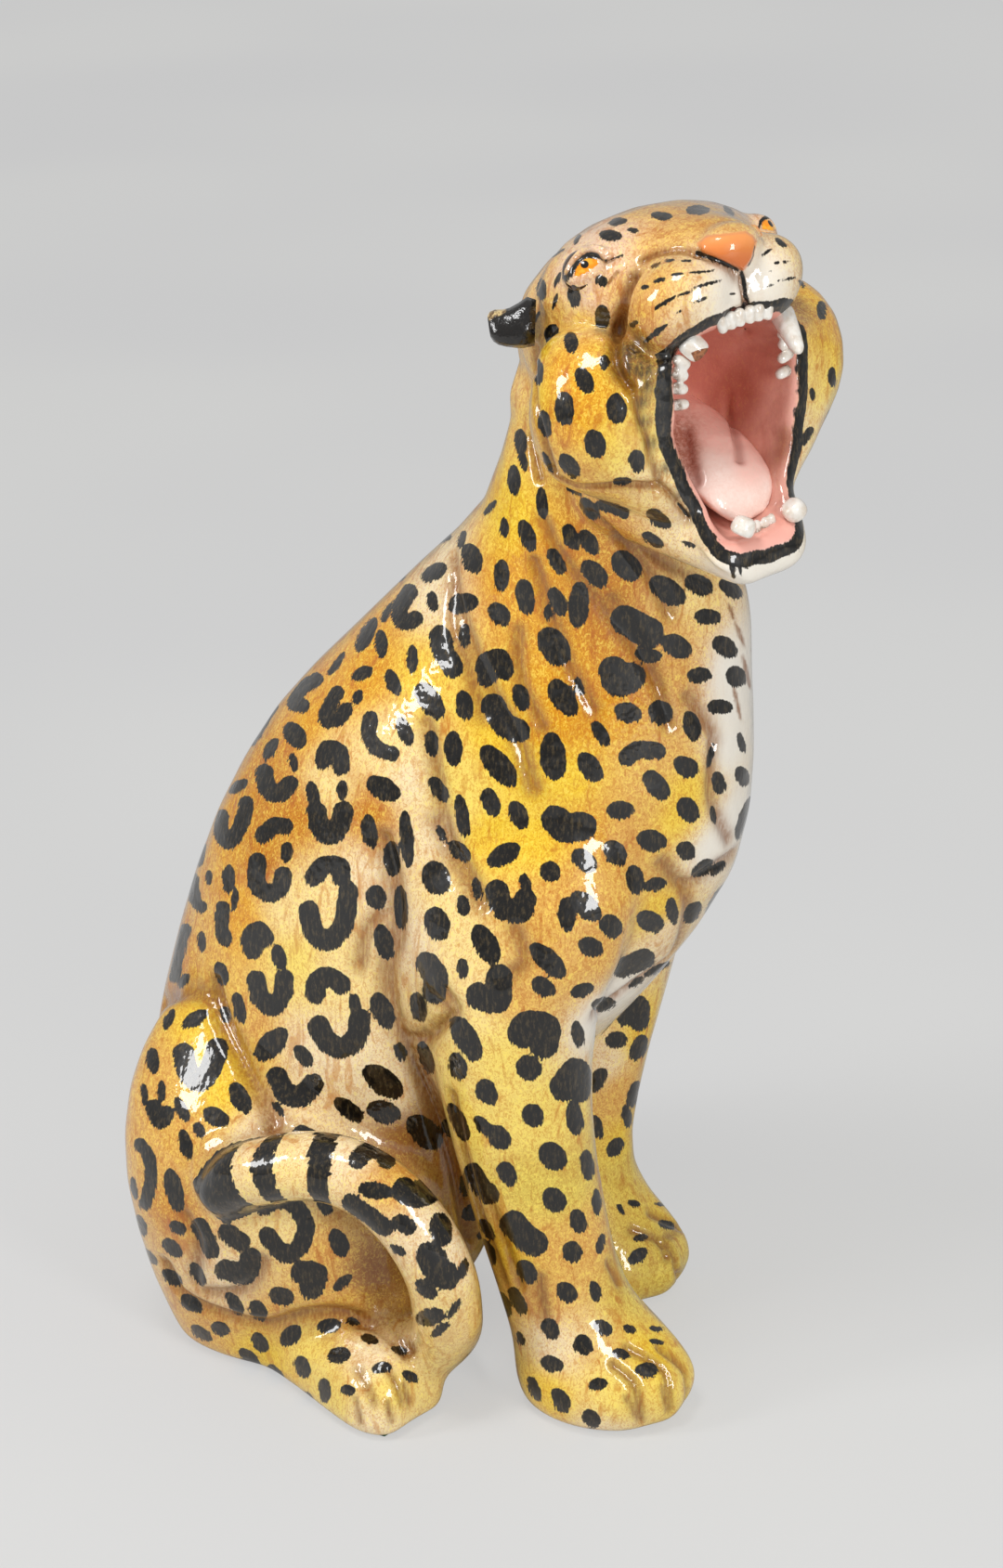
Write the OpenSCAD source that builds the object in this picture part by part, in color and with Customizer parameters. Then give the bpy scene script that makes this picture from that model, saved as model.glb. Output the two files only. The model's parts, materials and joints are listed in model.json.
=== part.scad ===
// Seated roaring leopard, a large hollow figure in glazed earthenware.
// Cast sections are luted together at their seams: torso, head, jaw, legs, tail and ears.
// Teeth are set in sockets of the mouth lining, and felt pads lie under every foot.
// Millimetres, +Z up. The leopard faces -Y, so its right side is at -X.
// Heights are measured from the clay's underside, which stands on the felt.

/* [Casting] */
// Thickness of the cast earthenware wall
wall = 9; // [6:0.5:12]
// Thickness of the felt under the feet
felt_t = 2; // [1:0.5:4]
// Margin of bare clay round each felt pad
felt_inset = 7; // [4:1:15]
// Radius of the vent hole in the base of the torso
vent_r = 16; // [8:1:24]

/* [Torso: height, front edge, back edge, half width] */
// Ring at the base, where the rump sits on its felt
seat_ring = [0, 20, 222, 92]; // [-400:1:800]
// Ring just above the base
rump_ring = [45, -8, 246, 112]; // [-400:1:800]
// Ring through the widest part of the rump
hip_ring = [120, -34, 254, 120]; // [-400:1:800]
// Ring through the belly
belly_ring = [205, -72, 246, 122]; // [-400:1:800]
// Ring through the lowest ribs
rib_ring = [300, -145, 223, 126]; // [-400:1:800]
// Ring through the breastbone
breast_ring = [395, -202, 190, 128]; // [-400:1:800]
// Ring through the shoulders
shoulder_ring = [480, -213, 142, 122]; // [-400:1:800]
// Ring through the withers
withers_ring = [545, -208, 84, 110]; // [-400:1:800]
// Ring low on the neck
neck_ring = [605, -200, 27, 97]; // [-400:1:800]
// Ring high on the neck
nape_ring = [665, -184, -29, 90]; // [-400:1:800]
// Ring that ends the neck inside the head
collar_ring = [735, -163, -54, 72]; // [-400:1:800]

/* [Forelegs: height, middle, half depth, half width] */
// Ring on the sole of the paw
sole_ring = [0, -141, 60, 50]; // [-400:1:800]
// Ring round the toes
toe_ring = [24, -144, 68, 57]; // [-400:1:800]
// Ring over the knuckles
knuckle_ring = [52, -134, 61, 51]; // [-400:1:800]
// Ring round the wrist
wrist_ring = [92, -110, 48, 43]; // [-400:1:800]
// Ring half way up the forearm
forearm_ring = [155, -93, 49, 44]; // [-400:1:800]
// Ring below the elbow
elbow_ring = [235, -78, 54, 48]; // [-400:1:800]
// Ring round the upper arm
arm_ring = [315, -72, 64, 54]; // [-400:1:800]
// Ring on the shoulder blade
blade_ring = [405, -76, 86, 54]; // [-400:1:800]
// Ring that closes the shoulder
point_ring = [505, -64, 56, 22]; // [-400:1:800]
// Distance of the elbow from the middle of the body
elbow_out = 99; // [85:1:115]
// Distance of the shoulder's top from the middle of the body
point_out = 76; // [66:1:84]
// Distance of the paw from the middle of the body
paw_out = 86; // [75:1:105]
// How far the left paw stands behind the right one
paw_step = 62; // [0:1:66]

/* [Hind legs: height, middle, half depth, half width] */
// Ring under the haunch
ham_ring = [0, 112, 76, 34]; // [-400:1:800]
// Ring low on the haunch
hock_ring = [55, 104, 108, 52]; // [-400:1:800]
// Ring through the knee
knee_ring = [130, 106, 122, 68]; // [-400:1:800]
// Ring through the thigh
thigh_ring = [200, 126, 102, 62]; // [-400:1:800]
// Ring near the top of the haunch
haunch_ring = [250, 144, 66, 40]; // [-400:1:800]
// Ring that closes the haunch
loin_ring = [286, 156, 26, 10]; // [-400:1:800]
// Distance of the haunch from the middle of the body
haunch_out = 104; // [90:1:120]
// Distance of the haunch's top from the middle of the body
loin_out = 80; // [70:1:88]
// How far the left hind foot stands behind the right one
foot_step = 36; // [30:1:50]
// Heel of the hind foot: distance from the middle of the body, and place along it
heel_at = [78, 152]; // [0:1:250]
// Tip of the hind foot: distance from the middle of the body, and place along it
tip_at = [170, -34]; // [-60:1:220]
// Half width of the hind foot at the toes
foot_half_w = 46; // [38:1:54]
// Height of the hind foot over the toes
foot_h = 62; // [52:1:74]

/* [Tail] */
// Radius of the tail
tail_r = 26; // [20:1:32]

/* [Head: side, forward, up] */
// Centre of the head in the figure
head_at = [-28, -129, 788]; // [-200:1:850]
// Turn of the head to the leopard's right, in degrees
head_yaw = 34; // [24:1:42]
// Lift of the muzzle, in degrees
head_pitch = 35; // [28:1:40]
// Lean of the head, in degrees
head_roll = 5; // [0:1:9]
// Centre of the skull
skull_at = [0, 12, 0]; // [-20:1:40]
// Half sizes of the skull
skull_size = [85, 80, 70]; // [50:1:110]
// Centre of the scruff, where the skull meets the neck
scruff_at = [0, -4, -46]; // [-80:1:80]
// Half sizes of the scruff
scruff_size = [84, 72, 72]; // [50:1:100]
// Centre of a cheek ruff
cheek_at = [81, 62, -17]; // [-80:1:100]
// Half sizes of a cheek ruff
cheek_size = [38, 48, 55]; // [30:1:80]
// Crown section of the muzzle: forward, up, half width, half height
crown_row = [8, 14, 70, 52]; // [0:1:160]
// Brow section of the muzzle
brow_row = [46, 24, 80, 45]; // [0:1:160]
// Eye section of the muzzle
eye_row = [86, 17, 74, 42]; // [0:1:160]
// Bridge section of the muzzle
bridge_row = [118, 6, 44, 34]; // [0:1:160]
// Front section of the muzzle
front_row = [142, 0, 30, 24]; // [0:1:160]
// Centre of a whisker pad
pad_at = [29, 112, -12]; // [-40:1:140]
// Half sizes of a whisker pad
pad_size = [35, 40, 27]; // [18:1:50]
// Centre of the nose
nose_at = [0, 145, 4]; // [-40:1:160]
// Half sizes of the nose
nose_size = [23, 18, 15]; // [10:1:40]
// Centre of an eye
eye_at = [67, 83, 21]; // [20:1:100]
// How much higher the right eye is set
right_eye_rise = 8; // [0:1:12]
// Radius of an eye ball
eye_r = 15; // [11:0.5:18]
// Root of an ear
ear_at = [84, 16, 34]; // [0:1:100]
// Turn of an ear from straight ahead to outward and back, in degrees
ear_turn = 125; // [100:1:150]
// Length of an ear from its root
ear_len = 35; // [30:1:44]
// Half width of an ear
ear_half_w = 16; // [15:1:24]

/* [Mouth: side, forward, up, as with the head level] */
// Half width and half height of the mouth at the lips
gape = [60, 76]; // [50:1:90]
// Depth of the mouth's middle under the head's centre
gape_drop = 28; // [14:1:30]
// Forward reach of the lips from the head's centre
lip_reach = 146; // [138:1:154]
// Depth of the throat from the lips
throat_depth = 130; // [115:1:138]
// Thickness of the mouth lining
lining_t = 8; // [6:0.5:9]
// Upper corner of a jowl
jowl_top = [50, 104, 16]; // [-140:1:170]
// Lower corner of a jowl
jowl_low = [29, 112, -86]; // [-140:1:170]
// Radius of a jowl's corners
jowl_r = 16; // [13:1:20]
// Side of the chin
chin_at = [13, 135, -115]; // [-140:1:170]
// Radius of the chin
chin_r = 21; // [18:1:25]
// Back corner of the jaw
jaw_at = [50, 50, -82]; // [-140:1:170]
// Radius of the back corner of the jaw
jaw_r = 30; // [25:1:36]
// Half width of the tongue
tongue_half_w = 37; // [28:1:38]

/* [Teeth] */
// Length of the whole upper canine
canine_len = 40; // [32:1:44]
// Radius of a canine at the gum
canine_r = 9.5; // [8:0.5:11]
// Length left of the broken canine
stub_len = 13; // [10:1:20]
// Length of the worn lower canines
lower_canine_len = 10; // [8:1:22]
// Radius of an upper incisor at the gum
incisor_r = 3.5; // [2.5:0.1:3.6]
// Radius of a lower incisor at the gum
lower_incisor_r = 2.8; // [2:0.1:3]
// Length of an incisor
incisor_len = 8; // [7:0.5:13]
// Radius of a cheek tooth at the gum
cheek_tooth_r = 4.25; // [4:0.25:5]
// Length of a cheek tooth
cheek_tooth_len = 9; // [8:0.5:15]
// Depth of a tooth's root in its socket
root = 4; // [3:0.5:5]

/* [Hidden] */

// Colours
honey = "#d9a441";
cream = "#ead9a8";
rose = "#c98d80";
ivory = "#f1ead6";
black = "#2b2320";
green = "#2f5a3a";

// Points round a ring and rings between two rows, on the outside and in the hollow
around = 32;
between = 2;
hollow_around = 16;
hollow_between = 1;
face_around = 20;
foot_around = 24;
tooth_around = 8;

// Which side a piece is on
right_side = -1;
left_side = 1;

// From the rows' own zero to the middle of the figure's length
plan_shift = 12;

torso_rows = [
    seat_ring, rump_ring, hip_ring, belly_ring, rib_ring, breast_ring,
    shoulder_ring, withers_ring, neck_ring, nape_ring, collar_ring
];
foreleg_rows = [
    sole_ring, toe_ring, knuckle_ring, wrist_ring, forearm_ring,
    elbow_ring, arm_ring, blade_ring, point_ring
];
haunch_rows = [ham_ring, hock_ring, knee_ring, thigh_ring, haunch_ring, loin_ring];
muzzle_rows = [crown_row, brow_row, eye_row, bridge_row, front_row];

// Grooves between the toes: angles from the middle of the paw, and depth as a share of the paw
toe_grooves = [-34, 0, 34];
toe_groove_depth = 0.09;
toe_groove_w = 8;

// Hind foot from heel to tip: place, half width and height as shares
foot_rows = [
    [0, 0.62, 0.80], [0.25, 0.76, 0.84], [0.5, 0.84, 0.88], [0.72, 0.96, 1.0],
    [0.88, 1.0, 0.94], [0.97, 0.82, 0.7], [1, 0.62, 0.45]
];

// Where the hind toes begin along the foot, and how close their cuts stand
toes_from = 0.6;
toe_spread = 0.8;
// Part of the hind foot's length that is hollow
foot_hollow_end = 0.93;

// Part of the hind foot's length that its felt covers
felt_heel = 0.5;
felt_toe = 0.97;

// Middle line of the tail from under the belly to its tip
tail_line = [
    [-30, 34, 34], [-86, -8, 32], [-124, -32, 46], [-150, -44, 82], [-166, -45, 126],
    [-172, -26, 166], [-174, 6, 193], [-175, 44, 200], [-174, 88, 186], [-170, 126, 152]
];
// Radius along the tail, as a share of its full radius
tail_shares = [1, 1, 1, 1, 1, 1, 1, 0.98, 0.92, 0.5];
// Steps in which the tail's course is read, and the side that its rings start from
course_step = 0.05;
tail_side = [-0.5, -0.2, 0.1];
// Rings between two points of the tail's line, and points round each
tail_between = 3;
tail_around = 12;

// Mouth from throat to lips: place, half width and half height as shares
mouth_rows = [
    [0, 0.24, 0.22], [0.1, 0.44, 0.38], [0.25, 0.65, 0.57], [0.45, 0.84, 0.75],
    [0.7, 0.95, 0.91], [1, 1, 1], [1.3, 1.06, 1.1]
];
// Tongue from throat to tip: place in the mouth, half width as a share, half thickness
tongue_rows = [
    [0.12, 0.66, 20], [0.34, 0.92, 26], [0.58, 1, 26], [0.74, 0.94, 21], [0.82, 0.7, 14], [0.85, 0.4, 7]
];
// How square the mouth's corners are, and how much narrower it is below its middle
mouth_square = 0.72;
mouth_taper = 0.24;
// How far the tongue's middle stands over the mouth's floor, as a share of its half thickness
tongue_lift = 0.62;
// Points round the tongue, an eye, an ear and the vent
tongue_around = 20;
eye_around = 16;
ear_around = 16;
vent_around = 24;

// Places of the teeth: depth in the mouth, and angles round it from its top
upper_front = 0.88;
upper_canine_front = 0.8;
upper_canine_angle = 37;
upper_incisor_angles = [-12.5, -6, -1.4, 1.4, 6, 12.5];
lower_front = 0.93;
lower_canine_front = 1;
lower_canine_angle = 145;
lower_incisor_angles = [168, 177, 183, 192];
cheek_tooth_places = [0.78, 0.77, 0.76, 0.75];
cheek_tooth_angles = [53, 62.5, 72, 81];
canine_tilt = 58;
stub_tilt = 25;
// Where a tooth's shoulder lies along it, and how thick its root is
shoulder_at = 0.86;
root_share = 0.86;
// Shoulder and end of each kind of tooth, as shares of its radius
incisor_end = [0.92, 0.62];
cheek_end = [0.88, 0.55];
stub_end = [0.94, 0.82];
canine_end = [0.58, 0.2];
lower_canine_end = [0.88, 0.52];

// Value between b and c at fraction t, led by the neighbours a and d
function eased(a, b, c, d, t) =
    b + (c - a) * t / 2 + (a - 2.5 * b + 2 * c - d / 2) * t * t
    + (1.5 * (b - c) + (d - a) / 2) * t * t * t;

// Row of a table at a place counted in rows
function row_at(rows, place) =
    let (last = len(rows) - 1, i = min(floor(place), last - 1))
    eased(rows[max(i - 1, 0)], rows[i], rows[i + 1], rows[min(i + 2, last)], place - i);

// Table with steps rows for each of its own
function fine(rows, steps) = [for (i = [0 : (len(rows) - 1) * steps]) row_at(rows, i / steps)];

// Row of a table of heights at any height
function row_at_height(rows, z) =
    [z, for (k = [1 : len(rows[0]) - 1]) lookup(z, [for (row = rows) [row[0], row[k]]])];

// Rows of a table of heights from low to high, with a row at each of the two
function rows_within(rows, low, high) = [
    row_at_height(rows, low),
    for (row = rows) if (row[0] > low && row[0] < high) row,
    row_at_height(rows, high)
];

// Smooth rise from 0 at low to 1 at high
function rise(low, high, at) =
    let (t = max(0, min(1, (at - low) / (high - low)))) t * t * (3 - 2 * t);

// Level oval ring
function level_oval(x, y, z, half_w, half_d, count) =
    [for (i = [0 : count - 1]) let (a = 360 * i / count) [x + half_w * cos(a), y + half_d * sin(a), z]];

// Point of the mouth's wall at an angle: squarer than an oval, broad above and narrow at the chin
function mouth_point(row, angle) =
    let (c = cos(angle), s = sin(angle))
    [
        row[2] * sign(c) * pow(abs(c), mouth_square) * (1 + mouth_taper * (s - 1)),
        -row[0],
        row[1] + row[3] * sign(s) * pow(abs(s), mouth_square)
    ];

// Ring of the mouth's wall from a row of forward, up, half width and half height
function mouth_ring(row) = [for (i = [0 : face_around - 1]) mouth_point(row, 360 * i / face_around)];

// Upright oval ring, seen from the front
function upright_oval(forward, up, half_w, half_h, count) =
    [for (i = [0 : count - 1]) let (a = 360 * i / count) [half_w * cos(a), -forward, up + half_h * sin(a)]];

// How deep the toe grooves cut at an angle from the middle of the paw
function toe_cut(angle) =
    toe_groove_depth * max([for (g = toe_grooves) exp(-pow((angle - g) / toe_groove_w, 2))]);

// Angle from straight ahead of a point round a level ring, between -180 and 180
function from_front(a) = (a + 270) % 360 - 180;

// Skin over rings that all have the same number of points
module skin(rings) {
    n = len(rings[0]);
    top = (len(rings) - 1) * n;
    sides = [
        for (r = [0 : len(rings) - 2], i = [0 : n - 1])
        let (a = r * n + i, b = r * n + (i + 1) % n)
        each [[a, a + n, b + n], [a, b + n, b]]
    ];
    caps = [[for (i = [0 : n - 1]) i], [for (i = [n - 1 : -1 : 0]) top + i]];
    polyhedron([for (ring = rings) each ring], concat(sides, caps));
}

// Hand-modelled surface
module sculpted() {
    resize([0, 0, 0]) children();
}

// The middle of the figure's length stands over the origin, and its clay on the felt
module on_felt() {
    translate([0, plan_shift, felt_t]) children();
}

// Ellipsoid at a side, forward and up place
module lump(at, size) {
    translate([at[0], -at[1], at[2]]) scale(size) sphere(1, $fn = face_around);
}

// Right and left of the head
module both_sides() {
    children();
    mirror([1, 0, 0]) children();
}

// Frame of the level head, for the mouth and the jaw
module level_head() {
    translate(head_at) rotate([0, 0, -head_yaw]) rotate([0, -head_roll, 0]) children();
}

// Frame of the lifted head
module lifted_head() {
    level_head() rotate([-head_pitch, 0, 0]) children();
}

// Sideways lean of the neck towards the head
function neck_lean(z) = head_at[0] * rise(withers_ring[0], collar_ring[0], z);

// Torso rings from a height to the collar, drawn in by an inset
function torso_rings(inset, lowest, count) = [
    for (row = rows_within(fine(torso_rows, between), lowest, collar_ring[0]))
    level_oval(neck_lean(row[0]), (row[1] + row[2]) / 2, row[0],
        row[3] - inset, (row[2] - row[1]) / 2 - inset, count)
];

module torso_solid() {
    skin(torso_rings(0, 0, around));
}

// Hollow of the torso, open at the collar
module torso_hollow() {
    rings = torso_rings(wall, wall, hollow_around);
    last = rings[len(rings) - 1];
    skin(concat(rings, [[for (p = last) p + [0, 0, wall]]]));
}

module torso_shell() {
    color(honey) on_felt() sculpted() difference() {
        torso_solid();
        torso_hollow();
        mouth_solid(lining_t);
        translate([0, (seat_ring[1] + seat_ring[2]) / 2, -wall])
            cylinder(r = vent_r, h = 3 * wall, $fn = vent_around);
    }
}

// Middle of a foreleg at a height: from the paw out to the elbow, in to the shoulder, and back by its step
function foreleg_x(z) =
    paw_out + (elbow_out - paw_out) * rise(0, elbow_ring[0], z)
    + (point_out - elbow_out) * rise(arm_ring[0], point_ring[0], z);
function foreleg_back(z, step) =
    step * (1 - rise(knuckle_ring[0], arm_ring[0], z));

// How far a paw stands behind the right one
function paw_back(side) = side == left_side ? paw_step : 0;

// Foreleg ring with the toes marked in its front
function foreleg_ring(row, inset, step, toes, count) = [
    for (p = level_oval(0, 0, 0, row[3] - inset, row[2] - inset, count))
    let (a = from_front(atan2(p[1], p[0]) + 360), cut = 1 - toes * toe_cut(a))
    [p[0] * cut + foreleg_x(row[0]), p[1] * cut + row[1] + foreleg_back(row[0], step), row[0]]
];

function foreleg_rings(inset, lowest, highest, step, count, steps) = [
    for (row = rows_within(fine(foreleg_rows, steps), lowest, highest))
    foreleg_ring(row, inset, step, row[0] < wrist_ring[0] && inset == 0 ? 1 : 0, count)
];

module foreleg_solid(side, step) {
    mirror([side < 0 ? 1 : 0, 0, 0])
        skin(foreleg_rings(0, 0, point_ring[0], step, around, between));
}

module foreleg_hollow(side, step) {
    mirror([side < 0 ? 1 : 0, 0, 0])
        skin(foreleg_rings(wall, wall, point_ring[0] - 2 * wall, step, hollow_around, hollow_between));
}

module foreleg(side) {
    color(cream) on_felt() sculpted() difference() {
        foreleg_solid(side, paw_back(side));
        foreleg_hollow(side, paw_back(side));
        torso_solid();
    }
}

module right_foreleg() {
    foreleg(right_side);
}

module left_foreleg() {
    foreleg(left_side);
}

// Haunch rings from a height to a height, drawn in by an inset
function haunch_rings(inset, lowest, highest, count, steps) = [
    for (row = rows_within(fine(haunch_rows, steps), lowest, highest))
    level_oval(haunch_x(row[0]), row[1], row[0], row[3] - inset, row[2] - inset, count)
];

// Middle of a haunch at a height, in towards its top
function haunch_x(z) = haunch_out + (loin_out - haunch_out) * rise(knee_ring[0], loin_ring[0], z);

// Length of the hind foot and its turn outward
foot_len = norm(tip_at - heel_at);
foot_turn = atan2(tip_at[0] - heel_at[0], heel_at[1] - tip_at[1]);

// Ring across the foot: flat below, round above, with the toes marked near the tip
function foot_ring(row, inset, toes, count) =
    let (half_w = row[1] * foot_half_w - inset, h = row[2] * foot_h - inset)
    [for (i = [0 : count - 1])
        let (a = 360 * i / count, up = sin(a), cut = 1 - toes * toe_cut(from_front(a + 180) * toe_spread))
        [half_w * cos(a) * cut, -row[0] * foot_len, up > 0 ? h * sqrt(up) * cut : inset]];

function foot_rings(inset, tip, count, steps) = [
    for (row = fine(foot_rows, steps))
    if (row[0] <= tip)
    foot_ring(row, inset, row[0] > toes_from && inset == 0 ? 1 : 0, count)
];

// Frame of a hind foot, at its heel
module at_heel(side) {
    translate([heel_at[0], heel_at[1] + (side == left_side ? foot_step : 0), 0])
        rotate([0, 0, foot_turn]) children();
}

module hind_leg_solid(side) {
    mirror([side < 0 ? 1 : 0, 0, 0]) {
        skin(haunch_rings(0, 0, loin_ring[0], around, between));
        at_heel(side) skin(foot_rings(0, 1, foot_around, between));
    }
}

module hind_leg_hollow(side) {
    mirror([side < 0 ? 1 : 0, 0, 0]) {
        skin(haunch_rings(wall, wall, loin_ring[0] - 2 * wall, hollow_around, hollow_between));
        at_heel(side) skin(foot_rings(wall, foot_hollow_end, hollow_around, hollow_between));
    }
}

module hind_leg(side) {
    color(cream) on_felt() sculpted() difference() {
        hind_leg_solid(side);
        hind_leg_hollow(side);
        torso_solid();
        foreleg_solid(side, paw_back(side));
    }
}

module right_hind_leg() {
    hind_leg(right_side);
}

module left_hind_leg() {
    hind_leg(left_side);
}

// Direction of the tail at a place along its line
function tail_course(place) =
    let (
        ahead = row_at(tail_line, min(place + course_step, len(tail_line) - 1)),
        behind = row_at(tail_line, max(place - course_step, 0))
    )
    (ahead - behind) / norm(ahead - behind);

// Ring across the tail
function tail_ring(place, count) =
    let (
        ahead = tail_course(place),
        out = cross(ahead, tail_side + [0, 0, -1] * abs(ahead[0])),
        u = out / norm(out),
        v = cross(ahead, u),
        r = tail_r * row_at(tail_shares, place)
    )
    [for (i = [0 : count - 1]) let (a = 360 * i / count)
        row_at(tail_line, place) + r * (u * cos(a) + v * sin(a))];

module tail_solid() {
    skin([for (i = [0 : (len(tail_line) - 1) * tail_between]) tail_ring(i / tail_between, tail_around)]);
}

module tail() {
    color(honey) on_felt() sculpted() difference() {
        tail_solid();
        torso_solid();
        hind_leg_solid(right_side);
        foreleg_solid(right_side, paw_back(right_side));
    }
}

// Forehead and muzzle from the crown to the nose
module muzzle() {
    skin([for (row = fine(muzzle_rows, between)) upright_oval(row[0], row[1], row[2], row[3], face_around)]);
}

// Cheek ruff, drawn forward into the jowl that frames the mouth
module cheek() {
    hull() {
        lump(cheek_at, cheek_size);
        lump(jowl_top, [jowl_r, jowl_r, jowl_r]);
        lump(jowl_low, [jowl_r, jowl_r, jowl_r]);
    }
}

module head_solid() {
    lifted_head() {
        lump(skull_at, skull_size);
        muzzle();
        lump(nose_at, nose_size);
        both_sides() lump(pad_at, pad_size);
    }
    level_head() {
        lump(scruff_at, scruff_size);
        both_sides() cheek();
    }
}

module head_hollow() {
    inset = [wall, wall, wall];
    lifted_head() lump(skull_at, skull_size - inset);
    level_head() {
        lump(scruff_at, scruff_size - inset);
        both_sides() lump(cheek_at, cheek_size - inset);
    }
}

module eye_ball(side) {
    up = eye_at[2] + (side == right_side ? right_eye_rise : 0);
    lifted_head() translate([side * eye_at[0], -eye_at[1], up]) sphere(eye_r, $fn = eye_around);
}

module head_shell() {
    color(honey) on_felt() sculpted() difference() {
        head_solid();
        head_hollow();
        torso_solid();
        mouth_solid(lining_t);
        eye_ball(right_side);
        eye_ball(left_side);
    }
}

module right_eye() {
    color(black) on_felt() sculpted() eye_ball(right_side);
}

module left_eye() {
    color(black) on_felt() sculpted() eye_ball(left_side);
}

// Ear, laid back and outward, from root to tip: place, half width and half thickness as shares
ear_rows = [
    [-0.4, 0.8, 0.5], [0, 1, 0.52], [0.4, 1, 0.46], [0.75, 0.72, 0.36], [0.94, 0.4, 0.24], [1, 0.2, 0.12]
];

module ear(side) {
    color(black) on_felt() sculpted() difference() {
        level_head() mirror([side < 0 ? 1 : 0, 0, 0])
            translate([ear_at[0], -ear_at[1], ear_at[2]]) rotate([0, 0, ear_turn])
            skin([for (row = fine(ear_rows, between))
                upright_oval(row[0] * ear_len, 0, row[2] * ear_half_w, row[1] * ear_half_w, ear_around)]);
        head_solid();
    }
}

module right_ear() {
    ear(right_side);
}

module left_ear() {
    ear(left_side);
}

// Mouth row at a place between throat and lips: forward, up, half width and half height
function mouth_row(row, grow) = [
    lip_reach - throat_depth * (1 - row[0]), -gape_drop, row[1] * gape[0] + grow, row[2] * gape[1] + grow
];

// Row of the mouth table at a depth between 0 at the throat and 1 at the lips
function mouth_share(depth) = [
    depth,
    lookup(depth, [for (row = mouth_rows) [row[0], row[1]]]),
    lookup(depth, [for (row = mouth_rows) [row[0], row[2]]])
];

// Space of the mouth, grown by the thickness of its lining
module mouth_solid(grow) {
    level_head() skin([
        if (grow > 0) mouth_ring(mouth_row(mouth_rows[0], grow) - [grow, 0, 0, 0]),
        for (share = mouth_rows) mouth_ring(mouth_row(share, grow))
    ]);
}

module jaw_solid() {
    level_head() hull() both_sides() {
        lump(chin_at, [chin_r, chin_r, chin_r]);
        lump(jaw_at, [jaw_r, jaw_r, jaw_r]);
        lump(jowl_low, [jowl_r, jowl_r, jowl_r]);
    }
}

module lower_jaw() {
    color(cream) on_felt() sculpted() difference() {
        jaw_solid();
        head_solid();
        torso_solid();
        mouth_solid(lining_t);
    }
}

module mouth_lining() {
    color(rose) on_felt() sculpted() difference() {
        intersection() {
            mouth_solid(lining_t);
            union() {
                head_solid();
                jaw_solid();
                torso_solid();
            }
        }
        mouth_solid(0);
        all_teeth();
    }
}

module tongue() {
    color(rose) on_felt() sculpted() intersection() {
        mouth_solid(0);
        level_head() skin([for (row = fine(tongue_rows, between))
            let (place = mouth_row(mouth_share(row[0]), 0))
            upright_oval(place[0], place[1] - place[3] + tongue_lift * row[2],
                row[1] * tongue_half_w, row[2], tongue_around)]);
    }
}

// Tooth that stands on its root, round and tapered, with a worn or broken end
module tooth(r, length, end) {
    rows = [
        [-root, root_share], [0, 1], [length / 2, (1 + end[0]) / 2],
        [shoulder_at * length, end[0]], [length, end[1]]
    ];
    skin([for (row = rows) level_oval(0, 0, row[0], r * row[1], r * row[1], tooth_around)]);
}

// Seat of a tooth on the mouth's wall, with the tooth leaning forward
module tooth_seat(depth, angle, tilt) {
    level_head() translate(mouth_point(mouth_row(mouth_share(depth), 0), 90 - angle))
        rotate([0, 180 + angle, 0]) rotate([tilt, 0, 0]) children();
}

module upper_canine_tooth(side, tilt, length, end) {
    tooth_seat(upper_canine_front, side * upper_canine_angle, tilt) tooth(canine_r, length, end);
}

module lower_canine_tooth(side) {
    tooth_seat(lower_canine_front, side * lower_canine_angle, 0)
        tooth(canine_r, lower_canine_len, lower_canine_end);
}

module upper_incisor_row() {
    for (a = upper_incisor_angles) tooth_seat(upper_front, a, 0) tooth(incisor_r, incisor_len, incisor_end);
}

module lower_incisor_row() {
    for (a = lower_incisor_angles)
        tooth_seat(lower_front, a, 0) tooth(lower_incisor_r, incisor_len, incisor_end);
}

module cheek_row(side) {
    for (i = [0 : len(cheek_tooth_places) - 1])
        tooth_seat(cheek_tooth_places[i], side * cheek_tooth_angles[i], 0)
            tooth(cheek_tooth_r, cheek_tooth_len, cheek_end);
}

module all_teeth() {
    upper_canine_tooth(right_side, stub_tilt, stub_len, stub_end);
    upper_canine_tooth(left_side, canine_tilt, canine_len, canine_end);
    lower_canine_tooth(right_side);
    lower_canine_tooth(left_side);
    upper_incisor_row();
    lower_incisor_row();
    cheek_row(right_side);
    cheek_row(left_side);
}

module upper_incisors() {
    color(ivory) on_felt() sculpted() upper_incisor_row();
}

module lower_incisors() {
    color(ivory) on_felt() sculpted() lower_incisor_row();
}

module broken_upper_canine() {
    color(ivory) on_felt() sculpted() upper_canine_tooth(right_side, stub_tilt, stub_len, stub_end);
}

module whole_upper_canine() {
    color(ivory) on_felt() sculpted() upper_canine_tooth(left_side, canine_tilt, canine_len, canine_end);
}

module right_lower_canine() {
    color(ivory) on_felt() sculpted() lower_canine_tooth(right_side);
}

module left_lower_canine() {
    color(ivory) on_felt() sculpted() lower_canine_tooth(left_side);
}

module right_cheek_teeth() {
    color(ivory) on_felt() sculpted() cheek_row(right_side);
}

module left_cheek_teeth() {
    color(ivory) on_felt() sculpted() cheek_row(left_side);
}

// Felt pad from an outline
module felt(outline) {
    linear_extrude(felt_t) polygon([for (p = outline) [p[0], p[1]]]);
}

// Felt lies on the floor, under the clay
module on_floor() {
    color(green) translate([0, plan_shift, 0]) children();
}

module rump_felt() {
    on_floor() felt(torso_rings(felt_inset, 0, around)[0]);
}

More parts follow.
